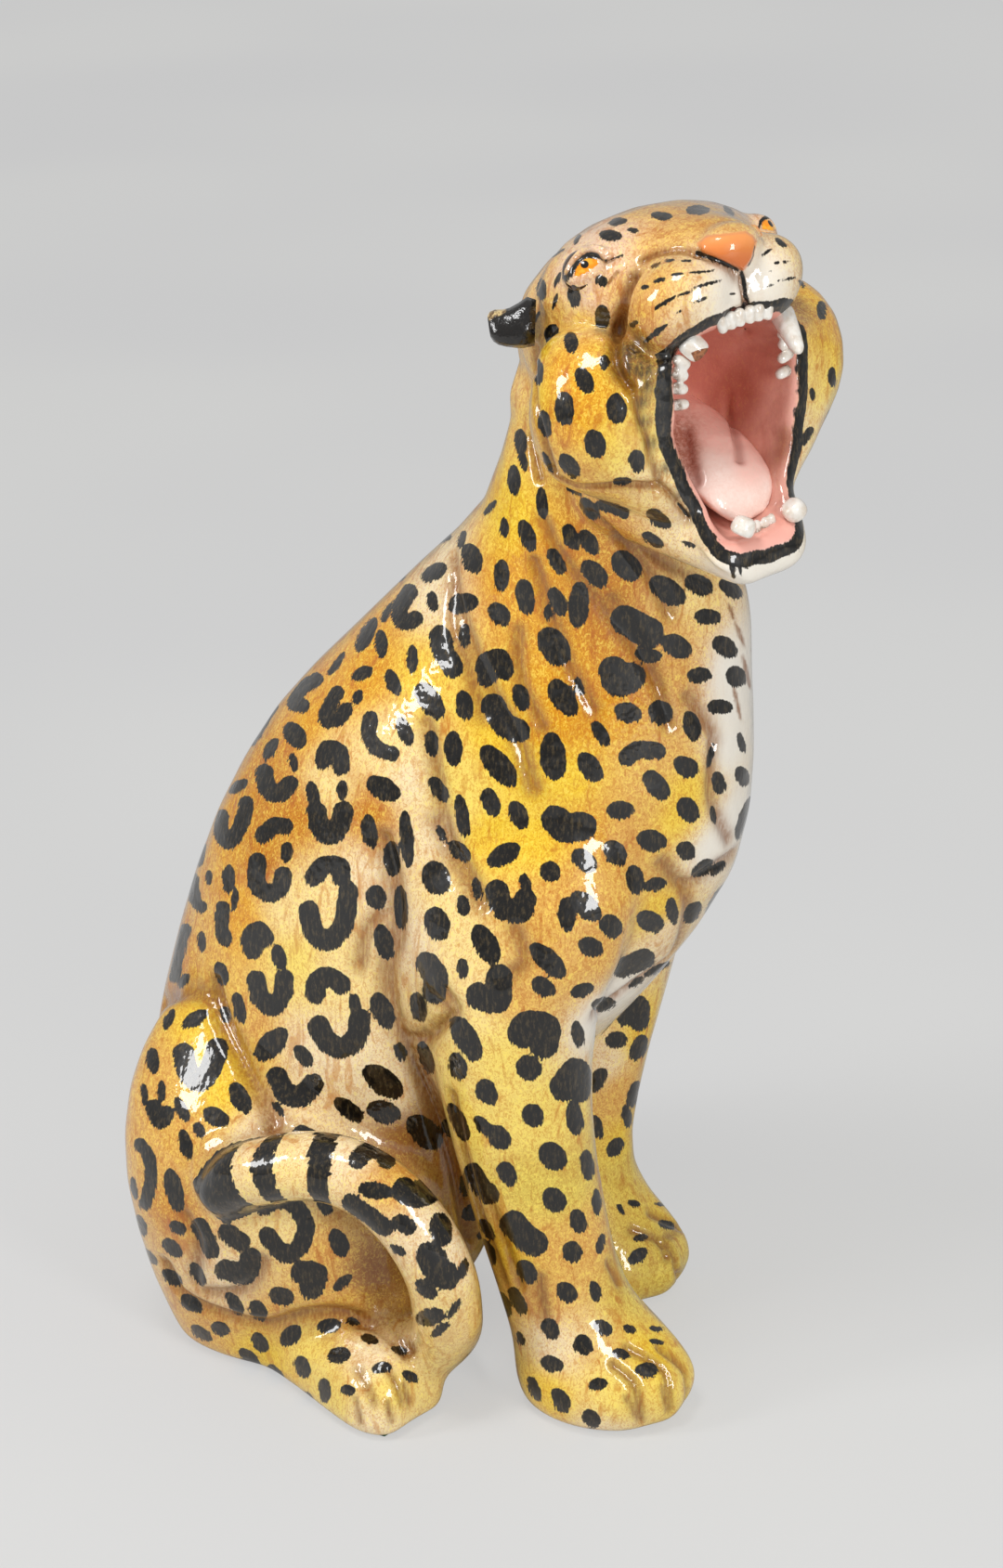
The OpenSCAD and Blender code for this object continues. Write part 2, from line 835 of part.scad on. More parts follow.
module fore_felt(side) {
    on_floor() mirror([side < 0 ? 1 : 0, 0, 0])
        felt(foreleg_ring(sole_ring, felt_inset, paw_back(side), 0, around));
}

module right_fore_felt() {
    fore_felt(right_side);
}

module left_fore_felt() {
    fore_felt(left_side);
}

// Felt under the hind foot, along both edges of its sole and clear of the rump's pad
module hind_felt(side) {
    rows = [for (row = foot_rows) if (row[0] >= felt_heel && row[0] <= felt_toe) row];
    far = [for (row = rows) [row[1] * foot_half_w - felt_inset, -row[0] * foot_len]];
    near = [for (i = [len(far) - 1 : -1 : 0]) [-far[i][0], far[i][1]]];
    on_floor() mirror([side < 0 ? 1 : 0, 0, 0]) at_heel(side) felt(concat(far, near));
}

module right_hind_felt() {
    hind_felt(right_side);
}

module left_hind_felt() {
    hind_felt(left_side);
}

torso_shell();
right_foreleg();
left_foreleg();
right_hind_leg();
left_hind_leg();
tail();
head_shell();
lower_jaw();
right_ear();
left_ear();
right_eye();
left_eye();
mouth_lining();
tongue();
upper_incisors();
lower_incisors();
broken_upper_canine();
whole_upper_canine();
right_lower_canine();
left_lower_canine();
right_cheek_teeth();
left_cheek_teeth();
rump_felt();
right_fore_felt();
left_fore_felt();
right_hind_felt();
left_hind_felt();
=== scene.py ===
"""Seated roaring leopard in glazed earthenware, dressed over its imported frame."""
import json
import math

import bmesh
import bpy
import numpy as np
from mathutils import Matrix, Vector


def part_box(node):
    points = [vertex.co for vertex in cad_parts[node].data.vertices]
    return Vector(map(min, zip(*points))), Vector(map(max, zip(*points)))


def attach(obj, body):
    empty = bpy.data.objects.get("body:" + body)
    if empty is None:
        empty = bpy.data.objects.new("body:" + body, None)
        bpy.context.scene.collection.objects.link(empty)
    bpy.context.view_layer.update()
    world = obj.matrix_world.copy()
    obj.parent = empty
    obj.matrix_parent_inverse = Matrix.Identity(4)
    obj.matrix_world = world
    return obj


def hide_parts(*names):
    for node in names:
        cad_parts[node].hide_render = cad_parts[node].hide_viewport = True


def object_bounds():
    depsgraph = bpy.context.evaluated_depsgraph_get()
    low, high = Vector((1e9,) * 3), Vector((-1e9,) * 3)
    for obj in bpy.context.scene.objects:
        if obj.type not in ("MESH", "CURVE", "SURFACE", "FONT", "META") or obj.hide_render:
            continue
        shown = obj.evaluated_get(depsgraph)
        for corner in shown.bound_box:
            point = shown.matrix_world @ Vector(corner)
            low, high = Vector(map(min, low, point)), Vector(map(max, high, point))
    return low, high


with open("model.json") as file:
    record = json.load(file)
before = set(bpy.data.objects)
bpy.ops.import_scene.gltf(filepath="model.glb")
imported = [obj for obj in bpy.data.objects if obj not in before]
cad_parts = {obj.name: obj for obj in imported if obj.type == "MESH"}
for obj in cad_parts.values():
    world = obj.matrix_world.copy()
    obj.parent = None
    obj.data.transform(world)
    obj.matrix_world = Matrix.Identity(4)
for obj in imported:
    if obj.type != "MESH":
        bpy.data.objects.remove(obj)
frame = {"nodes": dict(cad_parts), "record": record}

import openvdb
from mathutils import Vector
from mathutils.bvhtree import BVHTree

cad_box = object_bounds()

# Millimetres are used for all shapes, and the frame is in metres
MM = 0.001

# Photograph's frame, and the camera that took it
FRAME_W, FRAME_H = 1080, 1689
FOCAL_PX = 4200
CAMERA_AT = np.array([-2427.3, -947.7, 1500.0])
CAMERA_AZIMUTH = math.radians(-69)
CAMERA_PITCH = math.radians(22.2)
SENSOR_MM = 36

# Guards against division by nothing
TINY = 1e-9
NO_WEIGHT = 1e-12

# Skins of the clay: grid steps, blurs that round the cast sections, and the seam between body and head
BODY_STEP = 3.0
HEAD_STEP = 1.3
BODY_BLUR = 6.0
HEAD_BLUR = 3.2
BLUR_CHANGE = (600, 680)
BLUR_LOSS = 0.8
BLUR_REACH = 3
BAND_STEPS = 3
MOULD_MARGIN = 4
CLAY_PASSES = 3
MOULD_PASSES = 2
SEAM_Z = 640
SEAM_LAP = 72
SEAM_OVERLAP = 4
CLAY_BOTTOM = 2.0
GRID_MARGIN = 24
NECK_CORNER = (150, 100)
FAR_OUTSIDE = 1000.0
STATUE_DEPTH = 2640

# Search for places: a stroke fades where the clay turns away from it by more than the limit
SIGHT_STEPS = range(2300, 3000, 20)
SIGHT_LIFT = 2
SIDE_LIMIT = 0.3
SIDE_PENALTY = 25
CURVE_SPACING = 9
SPOT_GROWTH = (1.03, 1.32)
FLAT_REACH = 14
FEATHER_HALF = 5
MIRROR_REACH = 30
MIRROR_GAP = 3
HEAD_ABOVE_SEAM = 60
STEP_FADE = (450, 250)

# Grooves, the brown wash and painted shade in them and the painted shade in hollows, brush marks and dabs of
# ground colour
GROOVE_LIMIT = 7
GROOVE_GAIN = 1.35
GROOVE_REACH = 3
WASH_AND_SHADE_SPREAD = 0.6
WASH_AND_SHADE_SHARE = 0.9
HOLLOW_PASSES = 14
HOLLOW_DEPTH = 1.2
HOLLOW_SHARE = 0.5
BROWN_FADE = (0.6, -0.6)
PAINT_REACH = 14
DAB_CORE = 14
MOTTLE_SPAN = (0.1, 0.5)

# Spots that the photograph doesn't show
SPOT_SEED = 11
SPOT_TRIES = 7000
SPOT_GAP = 11
SPOT_HALF = (7.5, 10.5)
SPOT_LENGTH = 7
SPOT_LOWEST = 14
ROSETTE_RADIUS = 13
ROSETTE_HALF = 7
ROSETTE_ZONE = (180, 620)
ROSETTE_FRONT = -60
ROSETTE_CHANCE = 0.7
ROSETTE_START = (0.6, 1.4)
ROSETTE_SWEEP = (3.6, 4.8)
ROSETTE_STEPS = 9

# Tail, eyes, nose, mouth, tongue, ears and felt
TAIL_SKIN = 3.5
TAIL_RADIUS = 16
TAIL_SPACING = 3
TAIL_MARGIN = 5
TAIL_REACH = 6
TAIL_HEM = 0.3
EYE_R = 15
EYE_REACH = 32
EYE_RINGS = 40
EYE_AROUND = 40
EYE_POLE = 0.02
CORNEA = 0.8
CORNEA_R = 5
LID_SINK = 2.5
LID_RISE = 1.2
LID_FADE = (9, 2)
NOSE_RISE = 2
NOSE_REACH = 50
NOSE_FADE = (0.5, -3.5)
LEATHER_FADE = (0.8, -0.8)
LEATHER_CREASE = 0.7
# Height over which the nose leather turns from painted shade below to painted light on top
PAINTED_NOSE_LIGHT_SPAN = (-10, 10)
MOUTH_REACH = 20
MOUTH_CORE = 8
THROAT_AT = (1030, 950)
CLEFT_REACH = 18
LIP_INSIDE = (-0.5, -3)
LIP_MIDDLE = 1.8
LIP_HALF = 4.4
LIP_EDGE = 2
LIP_TIE = 0.1
PINK_MOTTLE = 0.85
PINK_CREASE = 0.75
TONGUE_STEP = 1.2
TONGUE_BLUR = 2.4
TONGUE_WASH_AND_SHADE = 0.5
EAR_SPACING = 1.5
EAR_TIP_FADE = (0.7, -0.7)
FELT_SHARE = 0.9

# Teeth: each kind, a word in its nodes' names, has its blur and the distance by which its skin is set out
TOOTH_STEP = 0.8
TOOTH_MOULDS = {"canine": (2.0, -0.3), "cheek": (1.1, 0.1), "incisors": (1.1, 0.3)}
TOOTH_REACH = 30
GUM_BROWN_FADE = (3.5, 0.8)
BREAK_DEPTH = 6
BROKEN_NODE = "broken_upper_canine"

# Floor, world and lamps: name, azimuth and elevation in degrees, distance, size and power
FLOOR_HALF = 7
FLOOR_COLOURS = ((206, 206, 206), (209, 209, 208))
GLOW_SHARE = 0.66
GLOW_POWER = 1.2
LIGHT_AIM = 0.45
WORLD_GREY = (0.4, 0.4, 0.4)
LAMPS = [
    ("side_box", -138, 22, 2.4, (0.5, 1.0), 24),
    ("top_box", -100, 66, 2.3, (0.6, 0.6), 18),
    ("front_box", -36, 14, 2.8, (0.6, 1.1), 34),
]

BODY_NODES = ["torso_shell", "right_foreleg", "left_foreleg", "right_hind_leg", "left_hind_leg", "tail"]
HEAD_NODES = ["head_shell", "lower_jaw", "mouth_lining"]
EYE_NODES = ["right_eye", "left_eye"]
EAR_NODES = ["right_ear", "left_ear"]
CLAY_NODES = BODY_NODES + HEAD_NODES + EYE_NODES + ["rump_felt"]
NECK_NODES = ["torso_shell"] + HEAD_NODES + EYE_NODES + ["rump_felt"]
TOOTH_NODES = [
    "upper_incisors", "lower_incisors", BROKEN_NODE, "whole_upper_canine",
    "right_lower_canine", "left_lower_canine", "right_cheek_teeth", "left_cheek_teeth",
]
FELT_NODES = ["rump_felt", "right_fore_felt", "left_fore_felt", "right_hind_felt", "left_hind_felt"]

# Windows on the photograph in which places are read: left, top and how many times enlarged
FLANK = (120, 560, 2)
NECK = (440, 480, 2)
HIND = (120, 900, 2)
FORE = (440, 900, 2)
FACE = (520, 200, 4)
EAR = (515, 305, 18.45)
PHOTO = (0, 0, 1)

# Painted spots: half width of the brush mark, then the places that it passes, in a window's pixels
FLANK_SPOTS = [
    (10, 845, 4, 847, 28), (9, 752, 52, 758, 32), (7, 702, 47, 726, 37), (22, 772, 72, 780, 94),
    (6, 657, 90, 678, 70), (17, 682, 120, 708, 106), (17, 840, 102, 840, 138), (6, 624, 128, 638, 98),
    (14, 642, 156, 620, 190, 628, 220, 654, 214), (12, 690, 166, 694, 186), (22, 746, 182, 768, 178),
    (8, 586, 214, 598, 186), (20, 830, 196, 842, 210), (15, 536, 272, 562, 224), (14, 580, 250, 582, 284),
    (18, 708, 250, 715, 285, 735, 318), (13, 760, 236, 760, 264), (12, 648, 281, 648, 319),
    (8, 472, 328, 498, 292), (14, 530, 336, 550, 326), (15, 600, 336, 612, 364),
    (12, 442, 344, 410, 364, 392, 396, 412, 400), (12, 487, 372, 468, 402, 460, 430, 490, 430, 505, 408),
    (11, 528, 388, 532, 376), (24, 673, 372, 698, 408), (19, 758, 386, 762, 414),
    (13, 558, 428, 553, 460, 574, 494, 604, 504), (16, 626, 440, 638, 470), (22, 390, 456, 400, 472),
    (13, 336, 504, 350, 482), (14, 455, 520, 465, 493, 490, 500, 495, 534), (14, 688, 466, 692, 497),
    (20, 735, 476, 737, 508), (8, 350, 402, 326, 440, 302, 478), (7, 284, 492, 266, 524),
    (15, 330, 545, 335, 578, 360, 590, 384, 570), (10, 390, 512, 394, 534), (12, 263, 580, 284, 568),
    (13, 236, 640, 236, 674, 255, 694, 275, 665, 288, 630, 290, 612), (24, 572, 572, 600, 586),
    (12, 497, 571, 497, 591), (14, 430, 576, 437, 608),
    (17, 441, 628, 450, 664, 475, 678, 494, 650, 499, 628), (16, 696, 567, 714, 594),
    (15, 750, 606, 760, 668), (19, 812, 596, 822, 621), (17, 553, 651, 558, 691), (15, 632, 641, 640, 734),
    (19, 602, 711, 605, 750), (14, 326, 680, 350, 659, 374, 661), (13, 378, 706, 376, 727),
    (9, 706, 666, 718, 690), (17, 741, 706, 758, 722), (10, 190, 738, 198, 706),
    (10, 175, 772, 180, 818, 194, 834), (8, 210, 762, 210, 780), (14, 252, 756, 252, 790),
    (15, 315, 736, 312, 780, 335, 804, 360, 798, 370, 766), (30, 697, 765, 702, 778),
    (16, 436, 770, 456, 746, 490, 746, 495, 770), (12, 240, 836, 238, 876, 245, 904),
    (8, 267, 800, 265, 834), (22, 569, 809, 572, 817), (15, 622, 802, 625, 868), (11, 785, 780, 790, 809),
    (13, 755, 820, 760, 841), (27, 698, 860, 704, 880),
    (17, 425, 842, 435, 886, 465, 908, 495, 880, 505, 846, 510, 802),
    (17, 304, 925, 301, 900, 315, 886, 328, 900), (20, 581, 891, 592, 929), (16, 358, 930, 364, 954),
    (10, 193, 895, 195, 920), (10, 160, 882, 145, 930, 136, 984), (9, 150, 1000, 162, 985),
    (15, 233, 966, 240, 989), (20, 680, 956, 699, 986, 695, 1018), (12, 755, 955, 758, 977),
    (16, 312, 991, 320, 1030, 350, 1048, 370, 1016, 372, 990),
    (17, 440, 1020, 445, 991, 470, 986, 494, 1000), (18, 658, 1036, 665, 1064), (23, 576, 1041, 592, 1074),
    (13, 522, 1032, 526, 1054), (14, 270, 1032, 280, 1073), (12, 243, 1058, 247, 1072),
    (18, 446, 1090, 465, 1124, 500, 1138, 530, 1110, 534, 1076), (25, 749, 1092, 779, 1143),
    (25, 331, 1144, 358, 1116), (13, 618, 1136, 626, 1154), (15, 670, 1136, 685, 1179),
    (16, 405, 1146, 421, 1164), (19, 742, 1166, 750, 1189),
    (18, 356, 1201, 375, 1234, 405, 1244, 434, 1216), (27, 566, 1196, 604, 1224),
    (22, 805, 1226, 812, 1239), (24, 573, 1272, 599, 1279), (18, 496, 1259, 527, 1284),
    (8, 351, 1259, 367, 1279), (15, 166, 1084, 194, 1066), (10, 118, 1089, 130, 1063),
    (18, 155, 1150, 165, 1190, 190, 1209, 214, 1182, 228, 1138), (14, 88, 1151, 90, 1179),
    (8, 46, 1139, 72, 1106), (20, 270, 1231, 285, 1261), (20, 216, 1282, 234, 1291),
    (12, 186, 1309, 192, 1321), (13, 145, 1256, 158, 1284), (9, 108, 1216, 108, 1248),
    (14, 90, 1266, 105, 1294, 118, 1280), (8, 70, 1221, 72, 1254), (14, 155, 1326, 165, 1364),
    (11, 62, 1346, 80, 1372, 85, 1420, 73, 1474), (7, 45, 1422, 52, 1458), (19, 128, 1416, 142, 1474),
]
HIND_SPOTS = [
    (10, 60, 826, 70, 854), (13, 136, 842, 150, 849), (14, 190, 841, 205, 870, 215, 894),
    (15, 122, 881, 140, 897), (8, 76, 896, 94, 919),
    (15, 330, 800, 352, 785, 384, 790, 410, 816, 419, 850, 400, 894, 370, 900, 336, 862),
    (15, 456, 791, 464, 804), (20, 485, 866, 495, 889), (11, 486, 974, 509, 953),
    (20, 411, 941, 440, 946, 430, 974), (20, 359, 990, 374, 995), (16, 249, 856, 268, 870, 279, 875),
    (18, 246, 936, 290, 944, 300, 911), (13, 178, 931, 194, 959), (14, 121, 946, 139, 959),
    (16, 163, 1001, 181, 1014), (17, 312, 1016, 320, 1029), (14, 256, 996, 274, 1021),
    (14, 228, 1060, 242, 1065), (12, 181, 1063, 207, 1081), (16, 315, 1086, 325, 1099),
    (14, 286, 1116, 307, 1134), (13, 346, 1151, 361, 1171), (18, 379, 1084, 394, 1071),
    (16, 459, 1057, 479, 1055), (8, 513, 1045, 527, 1049), (10, 546, 1081, 567, 1089),
    (18, 483, 1121, 497, 1118), (16, 408, 1136, 415, 1154), (14, 458, 1183, 460, 1207),
    (11, 504, 1193, 515, 1196), (13, 573, 1149, 591, 1145), (9, 611, 1106, 629, 1113),
    (11, 636, 1161, 651, 1169), (9, 419, 1206, 429, 1221), (9, 463, 1249, 473, 1261),
    (28, 661, 626, 688, 653),
]
TAIL_SPOTS = [
    (15, 530, 700, 546, 681, 575, 680, 594, 699), (18, 549, 762, 589, 768),
    (22, 631, 765, 660, 774, 689, 761), (15, 516, 791, 550, 815, 589, 844), (18, 623, 832, 641, 844),
    (9, 566, 866, 585, 885, 599, 904), (10, 609, 888, 624, 897), (24, 708, 836, 712, 861),
    (24, 686, 906, 705, 938, 719, 948), (17, 669, 969, 687, 984), (10, 752, 949, 762, 921),
    (19, 673, 1040, 699, 1035), (10, 696, 1074, 719, 1056), (8, 729, 1034, 747, 1006),
    (15, 612, 984, 622, 956), (17, 578, 1024, 592, 1009), (12, 621, 1023, 629, 1044),
]
FORE_SPOTS = [
    (21, 304, 76, 306, 80), (21, 370, 46, 387, 61), (22, 440, 31, 450, 44), (23, 516, 10, 526, 14),
    (19, 595, 31, 600, 35), (20, 190, 121, 205, 154, 240, 164, 250, 140), (12, 248, 92, 255, 122),
    (19, 340, 152, 342, 189), (24, 371, 141, 394, 164), (22, 432, 191, 440, 200), (19, 486, 82, 490, 108),
    (15, 522, 108, 540, 103), (22, 512, 182, 528, 189), (13, 565, 146, 570, 179), (16, 605, 174, 617, 156),
    (14, 621, 80, 644, 61), (10, 656, 78, 674, 63), (10, 646, 159, 684, 107), (25, 156, 216, 178, 254),
    (23, 281, 251, 321, 289), (21, 385, 238, 399, 243), (17, 460, 285, 485, 275, 509, 266),
    (19, 283, 320, 297, 331), (14, 361, 338, 387, 330), (15, 409, 365, 431, 361),
    (22, 151, 345, 190, 354, 195, 306), (8, 481, 322, 499, 309), (8, 512, 300, 558, 276),
    (18, 471, 389, 495, 367, 495, 398), (18, 441, 440, 454, 440), (17, 490, 469, 501, 446),
    (25, 246, 426, 256, 410, 294, 416, 290, 448), (13, 362, 411, 368, 444), (26, 257, 499, 260, 502),
    (25, 336, 540, 360, 512, 364, 544), (17, 399, 539, 414, 516), (14, 480, 574, 490, 542),
    (11, 468, 591, 472, 619), (23, 266, 601, 269, 606), (18, 355, 591, 360, 628), (14, 400, 616, 408, 639),
    (16, 95, 591, 121, 643), (13, 82, 622, 88, 638), (14, 151, 616, 170, 634), (23, 191, 646, 199, 655),
    (27, 306, 686, 315, 697), (19, 208, 720, 216, 737), (15, 383, 691, 387, 728), (16, 441, 677, 449, 666),
    (16, 139, 726, 155, 754, 174, 774), (10, 118, 741, 122, 769), (24, 310, 781, 317, 789),
    (22, 226, 836, 250, 864, 273, 879), (12, 161, 836, 177, 861), (18, 362, 823, 368, 839),
    (10, 404, 771, 406, 809), (12, 166, 881, 181, 914), (21, 351, 894, 355, 900), (19, 249, 931, 261, 949),
    (9, 410, 894, 416, 866), (15, 226, 986, 244, 1019), (14, 199, 996, 211, 1024), (20, 336, 980, 345, 988),
    (12, 400, 971, 404, 991), (8, 238, 1076, 244, 1091), (18, 301, 1056, 309, 1069),
    (15, 411, 1056, 425, 1064), (20, 374, 1096, 377, 1100), (9, 469, 1060, 481, 1065),
    (6, 523, 1062, 544, 1064), (11, 449, 1115, 467, 1119), (6, 524, 1088, 542, 1092),
    (16, 504, 1152, 522, 1152), (17, 301, 1136, 317, 1141), (13, 398, 1184, 416, 1180),
    (17, 321, 1206, 335, 1229), (12, 264, 1176, 277, 1207), (17, 389, 1251, 397, 1261),
    (6, 452, 796, 462, 814), (7, 476, 790, 494, 795), (4, 531, 793, 551, 795), (10, 546, 836, 564, 841),
    (8, 489, 868, 507, 866), (14, 486, 911, 502, 899),
]
NECK_SPOTS = [
    (14, 226, 56, 228, 94), (12, 285, 101, 290, 149), (6, 343, 92, 367, 104), (15, 381, 126, 399, 147),
    (9, 411, 128, 440, 135, 464, 145), (16, 526, 149, 551, 167), (17, 248, 176, 262, 211),
    (17, 345, 186, 355, 209), (17, 380, 196, 396, 219), (16, 311, 236, 327, 264), (12, 513, 195, 539, 211),
    (5, 593, 208, 614, 216), (22, 391, 266, 411, 286), (27, 462, 251, 477, 267), (7, 166, 144, 184, 123),
    (20, 248, 306, 255, 344), (15, 313, 316, 327, 354), (22, 368, 314, 365, 372), (25, 541, 301, 574, 324),
    (22, 616, 296, 634, 304), (16, 683, 301, 704, 317), (11, 772, 316, 764, 341), (9, 298, 351, 302, 371),
    (30, 304, 420, 322, 446), (25, 466, 376, 500, 394, 518, 404), (24, 569, 428, 586, 437),
    (16, 501, 450, 529, 454), (17, 631, 368, 657, 370), (20, 673, 428, 689, 439),
    (25, 441, 486, 450, 509, 478, 500), (25, 321, 526, 344, 561), (9, 362, 506, 372, 529),
    (18, 238, 531, 246, 554), (21, 463, 573, 481, 578), (25, 541, 573, 545, 577), (17, 616, 495, 636, 494),
    (21, 704, 495, 707, 500), (16, 659, 562, 681, 563), (19, 606, 591, 614, 619), (15, 405, 606, 421, 634),
    (15, 471, 672, 490, 656, 534, 658), (28, 308, 646, 314, 694), (22, 383, 681, 399, 704),
    (21, 590, 688, 604, 696), (22, 523, 719, 544, 744), (8, 713, 626, 720, 654), (7, 655, 646, 645, 689),
    (15, 666, 716, 670, 737), (15, 716, 706, 721, 719), (11, 734, 767, 709, 838), (20, 232, 784, 242, 807),
    (20, 446, 785, 466, 785), (22, 598, 779, 606, 791), (7, 653, 783, 658, 807),
    (24, 316, 806, 336, 824, 374, 820), (22, 513, 848, 534, 852), (20, 182, 560, 205, 600, 236, 615),
    (26, 175, 668, 212, 712), (16, 168, 500, 165, 470, 195, 458, 208, 485), (22, 191, 889, 219, 873),
]
FACE_SPOTS = [
    (16, 556, 160, 604, 150), (18, 741, 126, 799, 134), (22, 896, 105, 954, 105), (13, 1046, 96, 1074, 121),
    (24, 526, 212, 574, 218), (11, 633, 188, 661, 194), (10, 398, 249, 414, 217), (6, 302, 307, 349, 273),
    (22, 250, 421, 254, 474), (9, 310, 429, 330, 381), (9, 300, 529, 320, 471), (28, 390, 456, 394, 496),
    (24, 508, 408, 513, 412), (32, 515, 546, 515, 589), (28, 286, 649, 299, 623), (30, 378, 661, 382, 689),
    (10, 216, 594, 239, 551), (24, 525, 751, 525, 769), (22, 237, 766, 240, 839), (35, 426, 816, 449, 859),
    (42, 350, 931, 352, 994), (42, 573, 936, 577, 984), (28, 261, 996, 274, 1059),
    (45, 478, 1096, 489, 1129), (34, 356, 1186, 389, 1229), (34, 660, 1171, 665, 1204),
    (16, 576, 1274, 624, 1272), (12, 263, 1156, 294, 1224), (28, 160, 1076, 165, 1130),
    (18, 170, 1160, 178, 1214),
]
FAR_FACE_SPOTS = [
    (20, 1457, 516, 1460, 559), (18, 1503, 801, 1505, 849), (12, 1418, 881, 1420, 914),
    (20, 1381, 1099, 1409, 1056), (10, 1476, 1029, 1494, 976), (10, 1266, 233, 1299, 257),
]

# Rows of whisker marks, and the far pad's own
WHISKER_MARKS = [
    (8, 726, 350, 759, 336), (7, 791, 325, 819, 321), (7, 861, 325, 894, 322), (9, 741, 413, 779, 401),
    (7, 812, 385, 858, 379), (5, 891, 375, 984, 368), (11, 690, 440, 708, 436), (6, 911, 439, 1019, 409),
    (9, 742, 529, 829, 477), (6, 851, 470, 899, 456), (7, 906, 504, 969, 481), (5, 1061, 468, 1084, 465),
    (6, 836, 549, 854, 536), (12, 701, 668, 789, 602), (13, 641, 600, 659, 591),
]
FAR_WHISKER_MARKS = [
    (6, 1206, 299, 1244, 271), (5, 1256, 335, 1274, 331), (5, 1296, 328, 1324, 325),
    (5, 1211, 434, 1249, 425), (6, 1271, 409, 1344, 396), (4, 1231, 370, 1249, 366),
    (8, 1366, 412, 1380, 438),
]

# Tail from its tip on, where its black tip ends, and its bands with their half widths in millimetres
TAIL_LINE = [
    (200, 780), (215, 725), (270, 690), (360, 685), (460, 685), (560, 705), (640, 760), (690, 840),
    (705, 930), (690, 1020),
]
TAIL_TIP_END = (302, 680)
TAIL_BANDS = [(352, 687, 7), (457, 685, 8.5)]

# Black lines of the face: upper lid, corners of the eye, line from nose to lip, nostrils
FACE_LINES = [
    (12, 360, 401, 385, 366, 403, 339, 426, 315, 449, 302, 472, 299, 494, 304),
    (6, 494, 299, 510, 316, 530, 324, 552, 317), (5, 552, 317, 575, 309, 600, 300),
    (13, 354, 397, 358, 400), (8, 1113, 368, 1124, 420, 1134, 490, 1144, 508),
    (12, 928, 290, 985, 312, 1040, 333, 1090, 358), (6, 1165, 262, 1158, 300, 1140, 345),
    (8, 1188, 186, 1196, 158, 1215, 138, 1245, 130, 1268, 145),
]
CHIN_MARKS = [
    (11, 1068, 1600, 1080, 1685), (9, 1102, 1600, 1110, 1670), (7, 1135, 1590, 1140, 1645),
    (5, 1165, 1585, 1162, 1632), (5, 1195, 1575, 1190, 1625), (4, 1225, 1568, 1221, 1612),
    (5, 1258, 1560, 1255, 1602), (4, 1290, 1550, 1289, 1592), (5, 1325, 1542, 1326, 1582),
    (4, 1360, 1535, 1363, 1572),
]
# Brown lines along the face's creases and on the chest, which darken the crease colour: partly brown brushwork,
# partly painted shade
FACE_BROWN = [
    (8, 533, 428, 560, 395, 580, 372), (7, 668, 395, 628, 465, 602, 560, 582, 650, 574, 730, 590, 800),
    (5, 690, 320, 760, 290, 860, 280, 925, 300), (4, 300, 1240, 390, 1290, 480, 1302, 600, 1292, 700, 1296),
]
CHEST_BROWN = [
    (5, 705, 385, 722, 430), (4, 735, 395, 742, 450), (5, 720, 455, 735, 520), (4, 700, 520, 715, 590),
    (4, 690, 345, 700, 372), (3, 752, 360, 748, 390),
]

# Opening of the right eye, its pupil, the nose leather, and the pale inside of the ear's tip
EYE_OPENING = [
    394, 388, 402, 363, 418, 340, 438, 322, 456, 315, 474, 316, 490, 324, 498, 336, 484, 349, 459, 364,
    433, 378, 408, 390,
]
PUPIL_AT = (438, 340)
NOSE_LEATHER = [
    920, 250, 960, 215, 1060, 205, 1130, 195, 1165, 215, 1180, 240, 1160, 320, 1120, 370, 1060, 340,
    1000, 310, 945, 290,
]
NOSE_MIDDLE = (1060, 265)
EAR_TIP = [560, 500, 440, 500, 330, 515, 225, 560, 150, 650, 200, 730, 300, 690, 400, 640, 520, 590]

# Ear from its root in the head to its tip: upper edge, lower edge and how thick in millimetres
EAR_ROWS = [
    (1150, 330, 1120, 1250, 9), (970, 270, 900, 1300, 10), (800, 390, 740, 1290, 10),
    (620, 490, 560, 1265, 9), (480, 525, 400, 1225, 8), (330, 525, 300, 1165, 6.5),
    (225, 570, 245, 1090, 4.5), (180, 660, 220, 960, 2),
]
EAR_SECTION = [
    (0, 0), (0.12, 0.5), (0.26, 0.85), (0.36, 0.72), (0.6, 0.95), (0.84, 0.75), (1, 0), (0.85, -0.55),
    (0.5, -0.3), (0.15, -0.5),
]

# Shifts of the clay across the line of sight: rows are a place and its shift, and still places hold the rest
MOUTH_WARP = [
    (753, 673, -6, 74), (830, 628, 0, 38), (907, 593, 0, 20), (986, 536, 0, 36), (1054, 491, 0, 47),
    (1111, 474, 0, 44), (1168, 451, 0, 52), (1247, 443, 0, 57), (1327, 449, 0, 44), (775, 832, -41, 0),
    (787, 930, -60, 0), (803, 1028, -65, 0), (827, 1138, -54, 0), (866, 1273, -36, 0), (922, 1383, -32, 0),
    (1035, 1493, -68, 10), (1111, 1545, -95, 40), (1185, 1590, -105, 20), (1259, 1595, -66, -14),
    (1349, 1530, -9, -4), (1366, 1077, -18, 0), (1349, 1224, -20, 0), (1060, 265, 0, 0), (950, 330, 0, 0),
    (1300, 300, 0, 0), (1390, 400, 0, 0), (760, 420, 0, 0), (640, 700, 0, 0), (640, 900, 0, 0),
    (680, 1100, 0, 0), (760, 1300, 0, 0), (840, 1480, 0, 0), (940, 1640, 0, 0), (1040, 1735, 0, 0),
    (1150, 1745, 0, 0), (1260, 1720, 0, 0), (1350, 1660, 0, 0), (1420, 1560, 0, 0), (1450, 700, 0, 0),
    (1450, 900, 0, 0), (1450, 1100, 0, 0), (1100, 900, 0, 0), (1100, 1200, 0, 0), (860, 790, 0, 0),
    (860, 870, 0, 0), (860, 940, 0, 0),
]
